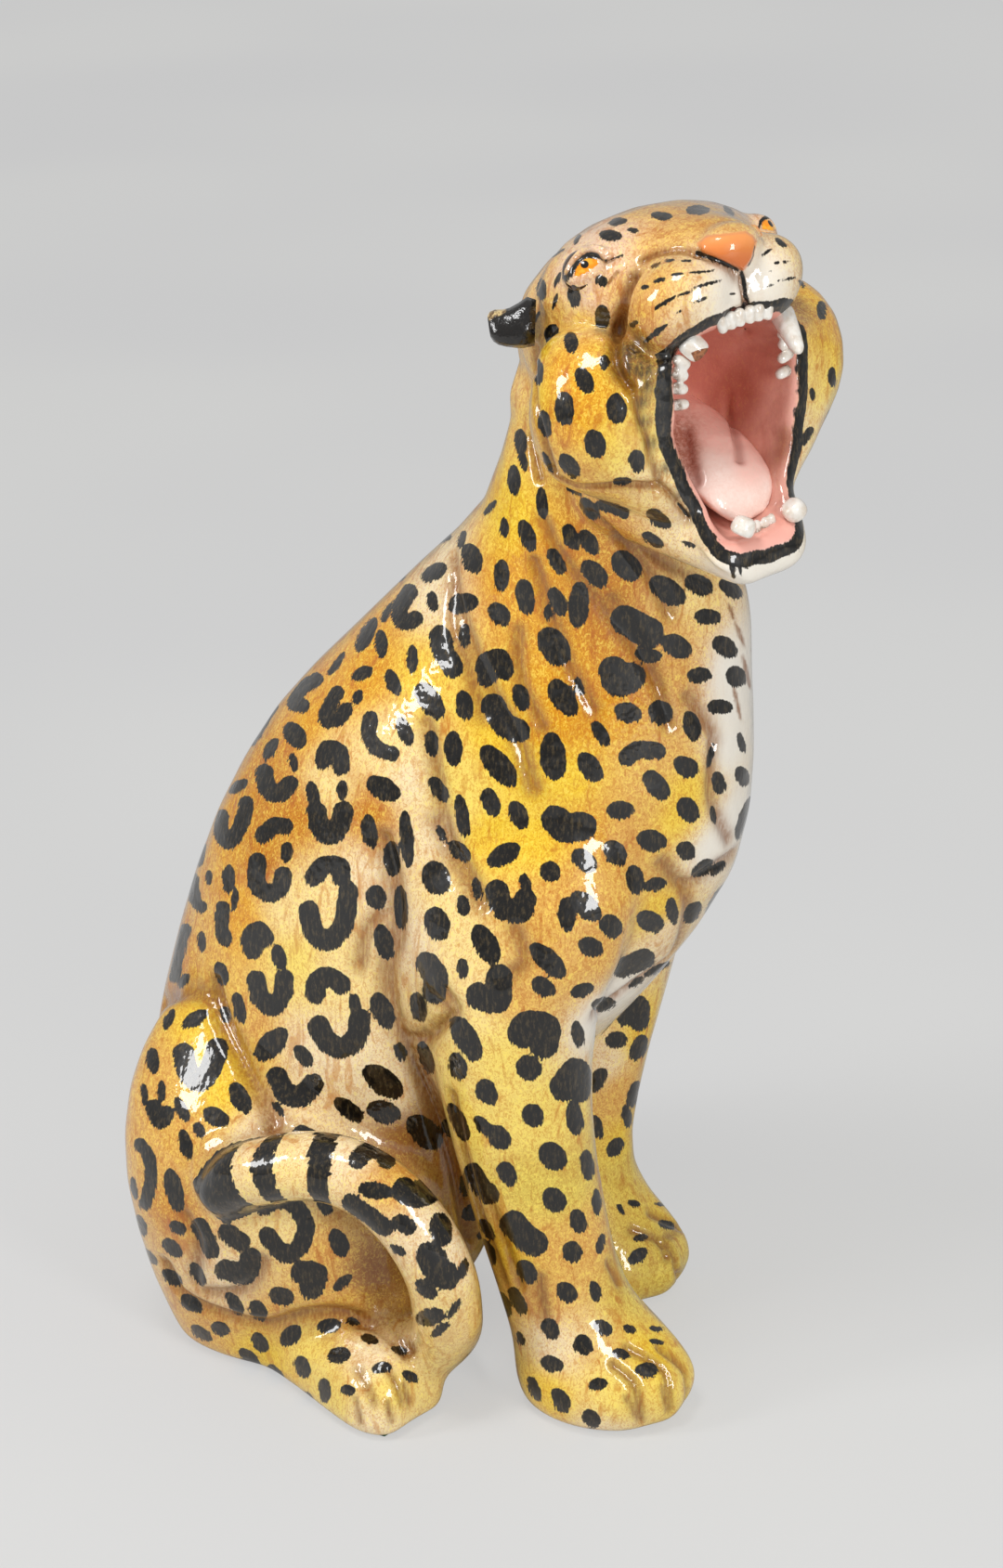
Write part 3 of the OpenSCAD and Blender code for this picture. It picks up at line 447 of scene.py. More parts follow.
NAPE_WARP = [
    (147, 734, 40, 0), (128, 857, 60, 0), (122, 979, 46, 0), (116, 1040, 20, 0), (92, 1163, 12, 0),
    (270, 800, 0, 0), (270, 900, 0, 0), (260, 1000, 0, 0), (210, 620, 0, 0), (60, 1300, 0, 0),
]
THROAT_WARP = [
    (1096, 1720, 48, 0), (1110, 1800, 40, 0), (1118, 1870, 30, 0), (1124, 2000, 14, 0), (860, 1720, 0, 0),
    (860, 1850, 0, 0), (900, 2000, 0, 0),
]
PAW_WARP = [
    (731, 1233, -36, 0), (745, 1180, -40, 0), (700, 1270, -25, -8), (560, 1150, 0, 0), (520, 1230, 0, 0),
    (740, 1060, 0, 0), (650, 1100, 0, 0), (600, 1290, 0, 0),
]
TAIL_WARP = [
    (203, 760, -32, 0), (225, 700, -26, -22), (215, 815, -20, 0), (340, 690, 0, 0), (340, 760, 0, 0),
    (300, 830, 0, 0),
]
# Each set of shifts with its window, its middle, where its effect ends and is full, and how far a shift spreads
WARPS = [
    (FACE, (1060, 1000), (170, 130), 62, MOUTH_WARP), (FACE, (190, 860), (110, 70), 70, NAPE_WARP),
    (FACE, (1080, 1760), (110, 30), 130, THROAT_WARP), (HIND, (680, 1220), (80, 50), 60, PAW_WARP),
    (HIND, (240, 750), (48, 32), 50, TAIL_WARP),
]
WARP_FADE = 0.05

# Painted shadow beside the lips, in the crease behind the whisker pad: place, reach in millimetres and strength
LIP_SHADOW_DABS = [
    (650, 710, 13, 1.0), (690, 790, 12, 1.0), (620, 780, 11, 0.95), (600, 700, 9, 0.8), (700, 860, 9, 0.95),
    (560, 640, 7, 0.5), (690, 930, 7, 0.9), (700, 1020, 6, 0.9), (735, 1110, 6, 0.8), (790, 1220, 5, 0.8),
    (850, 1330, 5, 0.7), (905, 1425, 5, 0.7), (965, 1515, 5, 0.7), (700, 660, 9, 0.8), (760, 640, 6, 0.7),
]

# Grooves in the clay: depth and half width in millimetres, then the places, in a window's pixels
FACE_GROOVES = [
    (4.5, 4.5, 655, 395, 625, 470, 600, 560, 575, 650, 570, 730, 590, 800, 640, 870),
    (1.6, 1.8, 362, 396, 382, 363, 400, 335, 423, 310, 446, 297, 471, 294, 494, 299, 510, 316, 530, 324,
     560, 314), (-1.8, 2.6, 364, 375, 384, 335, 408, 300, 440, 276, 480, 268, 520, 280),
    (3, 4, 300, 1240, 390, 1290, 480, 1302, 600, 1292, 700, 1296, 770, 1297, 830, 1340, 900, 1430),
    (1.5, 4, 640, 870, 700, 1000, 750, 1180, 765, 1290), (1.5, 3, 690, 320, 760, 290, 860, 280, 925, 300),
    (2, 2.5, 1113, 368, 1124, 420, 1134, 490, 1144, 508), (3, 3, 928, 292, 985, 314, 1040, 335, 1090, 358),
    (3, 5, 205, 700, 195, 800, 205, 930, 240, 1060, 300, 1240), (2, 4, 190, 1090, 215, 1180, 240, 1260),
]
NECK_GROOVES = [
    (2.5, 5, 395, 150, 460, 205, 520, 280, 560, 360),
    (2, 5, 290, 160, 330, 240, 420, 350, 480, 430, 540, 520),
    (2, 5, 270, 250, 300, 340, 350, 480, 400, 570), (2, 5, 440, 330, 520, 470, 560, 600),
    (1.5, 4, 500, 220, 560, 260, 640, 300),
    (2.5, 6, 95, 240, 105, 340, 140, 440, 180, 530, 230, 620, 270, 740),
    (2, 5, 235, 400, 240, 500, 290, 610), (2.5, 6, 40, 600, 62, 720, 85, 840, 130, 920, 160, 990),
    (2, 5, 655, 640, 652, 760, 690, 850), (2.5, 6, 545, 900, 590, 945, 640, 920, 700, 880),
    (2, 5, 590, 945, 600, 1000, 570, 1090, 480, 1160, 400, 1220), (2, 5, 600, 540, 650, 610, 660, 640),
    (2, 6, 230, 1040, 250, 1110, 200, 1150), (2.5, 6, 80, 1180, 100, 1220, 50, 1260),
]
FLANK_GROOVES = [
    (5, 8, 585, 690, 605, 770, 612, 880, 596, 960, 605, 1060, 650, 1170, 700, 1280, 742, 1400, 775, 1560),
    (2, 6, 700, 650, 745, 745, 790, 825), (2.5, 6, 640, 1120, 690, 1110, 722, 1060, 690, 1030),
    (5, 8, 222, 1000, 240, 1080, 290, 1180, 338, 1265, 350, 1305),
    (3, 8, 110, 1040, 165, 1016, 214, 1030, 232, 1064), (2, 6, 535, 960, 550, 890, 580, 850),
    (2, 6, 730, 130, 735, 230, 770, 330, 800, 420),
]
HIND_GROOVES = [
    (4, 7, 118, 925, 150, 985, 220, 1025, 330, 1055, 420, 1032, 500, 1030, 560, 1062, 640, 1112),
    (3, 6, 200, 985, 262, 985, 305, 960, 325, 915), (2.5, 6, 160, 820, 185, 880, 180, 960),
    (2, 3, 530, 1150, 552, 1190, 568, 1225), (2, 3, 598, 1150, 622, 1185, 642, 1225),
    (2, 3, 645, 1185, 662, 1225), (1.5, 2.5, 524, 1215, 536, 1265), (1.5, 2.5, 600, 1225, 610, 1262),
]
FORE_GROOVES = [
    (2.5, 3.5, 440, 1140, 488, 1185, 500, 1262), (2.5, 3.5, 470, 1105, 552, 1155, 562, 1240),
    (2.5, 3.5, 540, 1105, 592, 1150, 600, 1205), (1.5, 2.5, 470, 1212, 490, 1252),
    (1.5, 2.5, 548, 1190, 556, 1225), (2.5, 3.5, 480, 850, 560, 885, 582, 950),
    (2.5, 3.5, 520, 815, 592, 850, 615, 900), (2, 3.5, 430, 920, 452, 965), (2, 5, 280, 955, 290, 1035),
    (2.5, 5, 95, 560, 112, 650, 150, 800, 205, 960), (1.5, 5, 180, 800, 240, 970),
]

# Glaze colours, and the places where each is brushed on
GLAZE = {
    "gold": (226, 160, 10), "deep": (206, 136, 14), "yellow": (240, 200, 40), "straw": (244, 216, 104),
    "cream": (248, 222, 152), "pale": (246, 226, 188), "white": (240, 234, 222), "tan": (224, 172, 82),
    "brown": (150, 98, 42), "rose": (238, 206, 182), "olive": (220, 194, 80), "nose": (244, 158, 88),
    # The nose leather's lower colour is painted shade, darker than its painted light on top
    "nose_painted_shade": (214, 112, 46), "throat": (184, 102, 84), "palate": (214, 134, 118), "gum": (244, 178, 162),
    # The brown of the mouth's hollows is painted shade
    "hollow": (164, 96, 68), "salmon": (255, 200, 186), "shell": (255, 228, 216), "wine": (250, 184, 168),
}
DABS = {
    "gold": [
        (FLANK, [(560, 270), (420, 430), (260, 640), (560, 340), (280, 860)]),
        (NECK, [(240, 300), (300, 260), (350, 440), (420, 560), (300, 600), (400, 830)]),
        (FACE, [(300, 800), (470, 740), (380, 880), (500, 900), (430, 1030), (760, 460)]),
    ],
    "deep": [
        (FLANK, [(330, 560), (400, 640), (330, 720), (150, 930), (560, 640), (130, 1500)]),
        (NECK, [(430, 300), (400, 400), (460, 440), (500, 520)]),
        (FACE, [(320, 1000), (620, 850), (730, 620), (700, 540), (550, 1480)]),
    ],
    "yellow": [
        (FLANK, [(230, 1230), (250, 1150), (190, 1100), (660, 350), (830, 450), (790, 700)]),
        (NECK, [
            (220, 150), (250, 700), (340, 720), (600, 740), (570, 800), (280, 850), (180, 820), (540, 1000),
        ]),
        (FORE, [(300, 1200), (540, 1130), (230, 900), (500, 430), (470, 650)]),
        (HIND, [(330, 1120)]),
        (FACE, [(260, 700), (560, 1080), (240, 900), (1430, 480), (1480, 650), (1470, 800)]),
    ],
    "straw": [
        (FLANK, [(400, 950), (720, 560), (760, 600), (800, 1120), (760, 1300)]),
        (FORE, [(200, 470), (300, 600), (450, 1220), (580, 1180)]),
        (HIND, [(480, 1200), (420, 1090), (600, 1200)]),
        (FACE, [(650, 1100), (560, 1200), (1440, 950), (430, 600)]),
    ],
    "cream": [
        (FLANK, [(470, 560), (600, 480), (460, 800), (380, 840), (480, 980), (720, 850), (760, 1000)]),
        (FORE, [(150, 420)]),
        (HIND, [(380, 760), (370, 850), (680, 1000)]),
        (NECK, [(600, 330)]),
        (FACE, [(850, 450), (700, 1370), (700, 1050)]),
    ],
    "pale": [
        (FLANK, [
            (700, 140), (650, 560), (560, 780), (650, 900), (700, 680), (440, 1150), (540, 1180),
            (600, 1240), (320, 1330), (500, 1350),
        ]),
        (FORE, [(300, 1100), (420, 480), (420, 1280)]),
        (HIND, [(200, 930), (250, 970), (560, 1120), (560, 1270), (680, 850), (740, 900)]),
        (NECK, [(560, 1050)]),
        (FACE, [(700, 1250), (850, 1420), (940, 520), (840, 580), (960, 420), (1400, 1000)]),
    ],
    "white": [
        (NECK, [
            (690, 480), (700, 560), (690, 650), (700, 800), (650, 870), (440, 1180), (400, 1230),
            (800, 260), (720, 285),
        ]),
        (FACE, [(1020, 470), (1200, 400), (1300, 380), (1200, 330), (1250, 460), (1060, 430)]),
    ],
    "tan": [
        (FLANK, [(200, 850), (300, 1100), (100, 1180), (60, 1230), (90, 1330), (180, 1330)]),
        (NECK, [
            (560, 380), (560, 500), (560, 660), (520, 780), (460, 830), (380, 950), (470, 960), (300, 1000),
            (430, 1090), (330, 1120),
        ]),
        (FORE, [(250, 360), (300, 900), (380, 880), (280, 1000), (450, 560)]),
        (HIND, [(450, 900), (480, 1000), (340, 1030), (200, 1050), (620, 750), (150, 870)]),
        (FACE, [
            (680, 110), (860, 90), (1000, 130), (700, 250), (850, 200), (960, 180), (1050, 170), (290, 350),
            (330, 560), (560, 470), (760, 380), (850, 400), (600, 1340), (440, 1240),
        ]),
    ],
    "brown": [
        (HIND, [(560, 940)]),
        (FLANK, [(640, 1320)]),
        # This brown dab beside the corner of the mouth is painted shadow, like the patches beside the lips
        (FACE, [(660, 700)]),
    ],
    "rose": [
        (FACE, [(480, 210), (600, 230), (520, 330), (420, 430), (480, 520), (1100, 100), (350, 330)]),
    ],
    "olive": [
        (FORE, [(330, 760), (560, 870), (460, 950), (600, 900), (250, 760)]),
    ],
}
MOUTH_DABS = {
    "throat": [
        (FACE, [(1080, 900), (1040, 860), (1120, 880), (1090, 820)]),
    ],
    "palate": [
        (FACE, [(1150, 680), (1050, 740), (1200, 780), (1000, 800), (950, 820), (1100, 700)]),
    ],
    "gum": [
        (FACE, [
            (800, 880), (800, 1000), (830, 1120), (860, 1250), (900, 1350), (960, 1440), (1340, 1000),
            (1330, 1200), (1340, 900), (1050, 1420), (1150, 1420), (1280, 1380), (1000, 1530), (1250, 1500),
            (1350, 1470), (1290, 900), (1270, 1000), (1250, 1090), (880, 960),
        ]),
    ],
    # Brown painted shade in the hollows of the mouth's side walls
    "hollow": [
        (FACE, [(880, 1100), (885, 1200), (1300, 1080), (1300, 1160)]),
    ],
}
TONGUE_DABS = {
    "wine": [
        (FACE, [(1060, 980), (1100, 960), (1230, 980)]),
    ],
    "salmon": [
        (FACE, [(960, 1080), (1020, 1120), (1150, 1060), (1200, 1120), (1150, 1240), (1240, 1200)]),
    ],
    "shell": [
        (FACE, [(1000, 1250), (1030, 1330), (1150, 1350), (1280, 1330), (980, 1180)]),
    ],
    # Brown painted shade where the tongue meets the near wall of the mouth
    "hollow": [
        (FACE, [(878, 1080), (884, 1140), (892, 1200)]),
    ],
}
TONGUE_GROOVES = [
    (2.5, 4, 1062, 990, 1085, 1060, 1098, 1120, 1105, 1180),
    (3, 5, 870, 1050, 882, 1120, 892, 1190, 915, 1270),
]


# Arrays of the frame's nodes

def node_arrays(names):
    """Points in millimetres and triangles of some CAD nodes together."""
    points, triangles, count = [], [], 0
    for name in names:
        mesh = frame["nodes"][name].data
        flat = np.empty(len(mesh.vertices) * 3, np.float32)
        mesh.vertices.foreach_get("co", flat)
        mesh.calc_loop_triangles()
        corners = np.empty(len(mesh.loop_triangles) * 3, np.int32)
        mesh.loop_triangles.foreach_get("vertices", corners)
        points.append(flat.reshape(-1, 3) / MM)
        triangles.append(corners.reshape(-1, 3) + count)
        count += len(mesh.vertices)
    return np.concatenate(points).astype(np.float32), np.concatenate(triangles).astype(np.uint32)


def node_tree(names):
    """Search tree of some CAD nodes together."""
    points, triangles = node_arrays(names)
    return BVHTree.FromPolygons(points.tolist(), triangles.tolist())


def node_middle(name):
    """Middle of a CAD node's box in millimetres."""
    return np.mean(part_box(name), axis=0) / MM


def corners_mm(box):
    """Lowest and highest corners of a box in millimetres."""
    return [np.array(corner) / MM for corner in box]


def tree_distances(tree, points, reach):
    """Distance of each point to a tree, at most reach."""
    found = (tree.find_nearest(point, reach)[3] for point in points.tolist())
    return np.array([reach if distance is None else distance for distance in found])


# Distance fields and skins

def rise(low, high, value):
    """Smooth step from 0 at low to 1 at high."""
    t = np.clip((value - low) / (high - low), 0, 1)
    return t * t * (3 - 2 * t)


def unit(vector):
    """Direction of a vector, with length 1."""
    return vector / np.linalg.norm(vector)


def mixed(a, b, share):
    """Values between a and b."""
    return a * (1 - share) + b * share


def segment_offsets(points, a, b):
    """Offset of each point from the nearest place on the straight line from a to b."""
    along = b - a
    t = np.clip((points - a) @ along / max(along @ along, TINY), 0, 1)
    return points - a - t[:, None] * along


def largest_piece(points, quads):
    """The connected piece with the most points."""
    quads = quads.astype(np.int64)
    ends = np.concatenate([quads[:, [0, 1]], quads[:, [1, 2]], quads[:, [2, 3]]])
    label = np.arange(len(points))
    while True:
        near, far = label[ends[:, 0]], label[ends[:, 1]]
        lower = np.minimum(near, far)
        new = label.copy()
        np.minimum.at(new, near, lower)
        np.minimum.at(new, far, lower)
        while (new[new] != new).any():
            new = new[new]
        if (new == label).all():
            break
        label = new
    kept = label == np.bincount(label).argmax()
    number = np.cumsum(kept) - 1
    return points[kept], number[quads[kept[quads[:, 0]]]]


def blurred(field, sigma):
    """Field averaged by a bell of that width in steps."""
    reach = int(math.ceil(BLUR_REACH * sigma))
    weights = np.exp(-0.5 * (np.arange(-reach, reach + 1) / sigma) ** 2).astype(np.float32)
    weights /= weights.sum()
    for axis in range(3):
        margin = [(reach, reach) if k == axis else (0, 0) for k in range(3)]
        padded = np.pad(field, margin, mode="edge")
        size = field.shape[axis]
        total = np.zeros_like(field)
        for i, weight in enumerate(weights):
            part = [slice(None)] * 3
            part[axis] = slice(i, i + size)
            total += weight * padded[tuple(part)]
        field = total
    return field


def level_set(points, faces, step, band):
    """Grid of distances to a closed surface of triangles or quads."""
    kind = {"triangles": faces} if faces.shape[1] == 3 else {"quads": faces}
    scale = openvdb.createLinearTransform(step)
    return openvdb.FloatGrid.createLevelSetFromPolygons(
        points.astype(np.float32), transform=scale, halfWidth=band / step,
        **{key: value.astype(np.uint32) for key, value in kind.items()})


def box_field(grid, step, low, high):
    """Distances of a grid over a box, and the box's first index."""
    first = np.floor(np.asarray(low) / step).astype(int)
    last = np.ceil(np.asarray(high) / step).astype(int)
    field = np.zeros(tuple(last - first + 1), np.float32)
    grid.copyToArray(field, ijk=tuple(int(i) for i in first))
    return field, first


def field_skin(field, first, step, level):
    """Points and quads of a field's surface at a level."""
    grid = openvdb.FloatGrid(FAR_OUTSIDE)
    grid.copyFromArray(np.ascontiguousarray(field), ijk=tuple(int(i) for i in first))
    grid.transform = openvdb.createLinearTransform(step)
    points, _, quads = grid.convertToPolygons(isovalue=level)
    return points.astype(float), quads.astype(np.int64)


def outward(points, faces):
    """Faces turned so that they look out of a closed shape."""
    across = np.cross(points[faces[:, 1]] - points[faces[:, 0]], points[faces[:, 2]] - points[faces[:, 0]])
    volume = np.einsum("ij,ij->i", across, points[faces[:, 0]] - points.mean(0)).sum()
    return faces if volume > 0 else faces[:, ::-1]


def normals_of(points, faces):
    """Unit normal at each point."""
    a, b, c = (points[faces[:, i]] for i in (0, 1, 2))
    d = points[faces[:, -1]]
    across = np.cross(c - a, d - b)
    total = np.zeros_like(points)
    for corner in range(faces.shape[1]):
        for k in range(3):
            total[:, k] += np.bincount(faces[:, corner], across[:, k], len(points))
    return total / np.maximum(np.linalg.norm(total, axis=1), TINY)[:, None]


def relaxed(points, quads, passes):
    """Points drawn towards the middle of their neighbours."""
    ends = np.concatenate([quads[:, [i, (i + 1) % 4]] for i in range(4)])
    count = np.bincount(ends[:, 0], minlength=len(points))
    for _ in range(passes):
        middle = np.stack([np.bincount(ends[:, 0], points[ends[:, 1], k], len(points)) for k in range(3)], 1)
        points = 0.5 * points + 0.5 * middle / count[:, None]
    return points


def clay_skin(names, step, low, high):
    """Rounded outer skin of some nodes in a box: BODY_BLUR holds below BLUR_CHANGE, HEAD_BLUR above it."""
    grid = level_set(*node_arrays(names), step, BAND_STEPS * step)
    shell, _, quads = grid.convertToPolygons(isovalue=0.0)
    shell, quads = largest_piece(shell, quads)
    field, first = box_field(level_set(shell, quads, step, BLUR_REACH * BODY_BLUR), step, low, high)
    height = (first[2] + np.arange(field.shape[2])) * step
    share = rise(*BLUR_CHANGE, height).astype(np.float32)
    soft = blurred(field, BODY_BLUR / step)
    fine = blurred(field, HEAD_BLUR / step)
    points, quads = largest_piece(*field_skin(soft + (fine - soft) * share, first, step, BLUR_LOSS))
    return relaxed(points, quads, CLAY_PASSES), outward(points, quads)


def node_skin(name, step, blur, level):
    """Rounded skin of every solid in a node, set out by a level."""
    points, triangles = node_arrays([name])
    margin = MOULD_MARGIN * blur
    grid = level_set(points, triangles, step, BLUR_REACH * blur)
    field, first = box_field(grid, step, points.min(0) - margin, points.max(0) + margin)
    points, quads = field_skin(blurred(field, blur / step), first, step, level)
    return relaxed(points, quads, MOULD_PASSES), outward(points, quads)


def loft(rings):
    """Closed shape through rings of points: points and triangles."""
    rows, around = rings.shape[:2]
    points = np.concatenate([rings.reshape(-1, 3), [rings[0].mean(0), rings[-1].mean(0)]])
    here = np.arange(around)
    there = (here + 1) % around
    first, last = rows * around, rows * around + 1
    end = (rows - 1) * around
    faces = [np.column_stack([np.full(around, first), there, here]),
             np.column_stack([np.full(around, last), end + here, end + there])]
    for row in range(rows - 1):
        a, b = row * around + here, row * around + there
        faces += [np.column_stack([a, b, b + around]), np.column_stack([a, b + around, a + around])]
    return points, outward(points, np.concatenate(faces))


# Camera

def camera_axes():
    """Right, up and back directions of the camera."""
    a, p = CAMERA_AZIMUTH, CAMERA_PITCH
    back = np.array([math.sin(a) * math.cos(p), -math.cos(a) * math.cos(p), math.sin(p)])
    right = np.array([math.cos(a), math.sin(a), 0])
    return right, np.cross(back, right), back


def make_camera():
    """Camera at the photograph's place and angle."""
    data = bpy.data.cameras.new("camera")
    data.sensor_fit = "HORIZONTAL"
    data.sensor_width = SENSOR_MM
    data.lens = SENSOR_MM * FOCAL_PX / FRAME_W
    camera = add_object("camera", data)
    turn = np.eye(4)
    turn[:3, :3] = np.column_stack(camera_axes())
    turn[:3, 3] = CAMERA_AT * MM
    camera.matrix_world = turn.T.tolist()
    bpy.context.scene.camera = camera


def sight(window, x, y):
    """Direction from the camera through a place in a window."""
    left, top, scale = window
    right, up, back = camera_axes()
    u, v = left + x / scale, top + y / scale
    return unit(right * (u - FRAME_W / 2) + up * (FRAME_H / 2 - v) - back * FOCAL_PX)


def window_places(window, points):
    """Places in a window at which the camera sees points."""
    left, top, scale = window
    right, up, back = camera_axes()
    away = points - CAMERA_AT
    depth = -away @ back
    u = FRAME_W / 2 + FOCAL_PX * (away @ right) / depth
    v = FRAME_H / 2 - FOCAL_PX * (away @ up) / depth
    return np.column_stack([(u - left) * scale, (v - top) * scale])


def window_mm(window):
    """Millimetres on the statue for one pixel of a window."""
    return STATUE_DEPTH / FOCAL_PX / window[2]


def polygon_gap(window, polygon, points):
    """Distance in millimetres of points to the edge of a polygon in a window, below 0 inside."""
    places = window_places(window, points)
    ends = np.array(polygon, float).reshape(-1, 2)
    best = np.full(len(places), np.inf)
    inside = np.zeros(len(places), bool)
    for a, b in zip(ends, np.roll(ends, -1, axis=0)):
        best = np.minimum(best, np.linalg.norm(segment_offsets(places, a, b), axis=1))
        crosses = (a[1] > places[:, 1]) != (b[1] > places[:, 1])
        run, drop = b[0] - a[0], (b[1] - a[1]) or TINY
        inside ^= crosses & (places[:, 0] < a[0] + (places[:, 1] - a[1]) / drop * run)
    return np.where(inside, -best, best) * window_mm(window)


# Places read from the photograph

class Clay:
    """Skins as one surface on which places of the photograph are found."""

    def __init__(self, skins):
        faces, points, count = [], [], 0
        for skin_points, skin_quads in skins:
            points.append(skin_points)
            faces.append(skin_quads + count)
            count += len(skin_points)
        self.points = np.concatenate(points)
        self.tree = BVHTree.FromPolygons(self.points.tolist(), np.concatenate(faces).tolist())

    def seen(self, window, x, y):
        """Point and normal that the camera sees at a place in a window, or those nearest to its line."""
        line = sight(window, x, y)
        place, normal, _, _ = self.tree.ray_cast(Vector(CAMERA_AT), Vector(line))
        if place is None:
            tries = [self.tree.find_nearest(Vector(CAMERA_AT + line * t)) for t in SIGHT_STEPS]
            place, normal, _, _ = min(tries, key=lambda found: found[3])
        return np.array(place), np.array(normal)

    def hidden(self, point, normal):
        """Whether the camera can't see a point on the clay."""
        start = Vector(point + SIGHT_LIFT * normal)
        return self.tree.ray_cast(start, Vector(CAMERA_AT) - start)[0] is not None

    def nearest(self, point, reach):
        """Nearest point and normal of the clay, or None beyond reach."""
        place, normal, _, _ = self.tree.find_nearest(Vector(point), reach)
        return None if place is None else (np.array(place), np.array(normal))


def curve_places(ends, spacing):
    """Places along a smooth curve through given places."""
    ends = np.asarray(ends, float)
    padded = np.concatenate([[2 * ends[0] - ends[1]], ends, [2 * ends[-1] - ends[-2]]])
    places = []
    for a, b, c, d in zip(padded[:-3], padded[1:-2], padded[2:-1], padded[3:]):
        count = max(1, int(np.linalg.norm(c - b) / spacing))
        for t in np.arange(count) / count:
            places.append(0.5 * (2 * b + (c - a) * t + (2 * a - 5 * b + 4 * c - d) * t ** 2
                                 + (3 * b - a - 3 * c + d) * t ** 3))
    return np.array(places + [ends[-1]])


class Stroke:
    """Path on the clay, its half width, the clay's normal there and its places in the photograph."""

    def __init__(self, path, normals, half_width, flat=None):
        self.path = np.array(path)
        self.normal = np.mean(normals, axis=0)
        self.half_width = half_width
        self.flat = flat

    def distances(self, points, normals, reach):
        """Numbers of the points within reach on the clay's same side, their distances and how low they lie."""
        low, high = self.path.min(0) - reach, self.path.max(0) + reach
        near = np.flatnonzero(((points > low) & (points < high)).all(1))
        best = np.full(len(near), np.inf)
        drop = np.zeros(len(near))
        spot = points[near]
        for a, b in zip(self.path[:-1], self.path[1:]):
            off = segment_offsets(spot, a, b)
            gap = np.linalg.norm(off, axis=1)
            closer = gap < best
            best[closer] = gap[closer]
            drop[closer] = -off[closer, 2]
        best += SIDE_PENALTY * np.clip(SIDE_LIMIT - normals[near] @ self.normal, 0, 1)
        kept = best < reach
        return near[kept], best[kept], drop[kept]

    def gaps(self, points, normals, places, reach):
        """Numbers of the points near the stroke, their distances to its edge and how low they lie on it."""
        spread = self.half_width + (0 if self.flat is None else FLAT_REACH)
        near, away, drop = self.distances(points, normals, spread + reach)
        gap = away - spread
        if self.flat is not None:
            gap = np.maximum(gap, self.flat_gaps(places[near]))
        return near, gap, np.clip(drop / self.half_width, -1, 1) * min(1, self.half_width / FEATHER_HALF)

    def flat_gaps(self, places):
        """Distances in millimetres to the edge as the photograph shows it: an oval, or a bent band."""
        scale = window_mm(PHOTO)
        half = self.half_width / scale
        first, last = self.flat[0], self.flat[-1]
        if len(self.flat) == 2:
            length = np.linalg.norm(last - first)
            along = (last - first) / length
            off = places - (first + last) / 2
            x, y = off @ along, off @ np.array([-along[1], along[0]])
            a, b = length / 2 + half, half
            share = np.sqrt((x / a) ** 2 + (y / b) ** 2)
            slope = np.sqrt((x / a ** 2) ** 2 + (y / b ** 2) ** 2)
            return share * (share - 1) / np.maximum(slope, TINY) * scale
        best = np.full(len(places), np.inf)
        for a, b in zip(self.flat[:-1], self.flat[1:]):
            best = np.minimum(best, np.linalg.norm(segment_offsets(places, a, b), axis=1))
        return (best - half) * scale


class Marks:
    """Strokes together, and how far a place lies from their edges."""

    def __init__(self, strokes):
        self.strokes = list(strokes)
        self.places = np.concatenate([stroke.path for stroke in strokes])
        self.halves = np.concatenate([np.full(len(stroke.path), stroke.half_width) for stroke in strokes])

    def add(self, stroke):
        """Take in one more stroke."""
        self.strokes.append(stroke)
        self.places = np.concatenate([self.places, stroke.path])
        self.halves = np.concatenate([self.halves, np.full(len(stroke.path), stroke.half_width)])

    def gap(self, place):
        """Distance from a place to the nearest edge."""
        return (np.linalg.norm(self.places - place, axis=1) - self.halves).min()


def brush(surface, window, row, growth=(1, 1)):
    """Stroke of a mark read in a window; growth is for short marks and for bent ones."""
    ends = np.reshape(row[1:], (-1, 2))
    bent = len(ends) > 2
    places = curve_places(ends, CURVE_SPACING)
    path, normals = zip(*[surface.seen(window, *place) for place in places])
    flat = np.array(window[:2]) + (places if bent else ends) / window[2]
    return Stroke(path, normals, row[0] * growth[bent] * window_mm(window), flat)


def groove(surface, window, row):
    """Depth and stroke of a groove read in a window."""
    places = curve_places(np.reshape(row[2:], (-1, 2)), CURVE_SPACING * window[2] / 2)
    path, normals = zip(*[surface.seen(window, *place) for place in places])
    return row[0], Stroke(path, normals, row[1])


def groove_cut(amount, stroke, points, normals):
    """Numbers of the points in a groove, their squared distances in half widths, and its depth there."""
    near, away, _ = stroke.distances(points, normals, GROOVE_REACH * stroke.half_width)
    share = (away / stroke.half_width) ** 2
    return near, share, amount * (1 - 0.5 * share) * np.exp(-share)


def dab_places(surface, table, mirrors=()):
    """Place on a surface and linear colour of each dab, and of its mirror copies."""
    dabs = []
    for name, groups in table.items():
        colour = linear(GLAZE[name])
        for window, places in groups:
            for x, y in places:
                place = surface.seen(window, x, y)[0]
                dabs += [(place, colour)] + [(mirror(place), colour) for mirror in mirrors]
    return dabs


def tinted(points, dabs, core):
    """Ground colour at each point: a mean of the dabs, by how near they are."""
    points = points.astype(np.float32)
    total = np.zeros((len(points), 3), np.float32)
    weight = np.full(len(points), NO_WEIGHT, np.float32)
    for place, colour in dabs:
        gap = ((points - place.astype(np.float32)) ** 2).sum(1)
        share = 1 / (gap + np.float32(core ** 2)) ** 2
        total += share[:, None] * colour.astype(np.float32)
        weight += share
    return total / weight[:, None]


# Pieces

def add_object(name, data):
    """New object in the scene."""
    item = bpy.data.objects.new(name, data)
    bpy.context.scene.collection.objects.link(item)
    return item


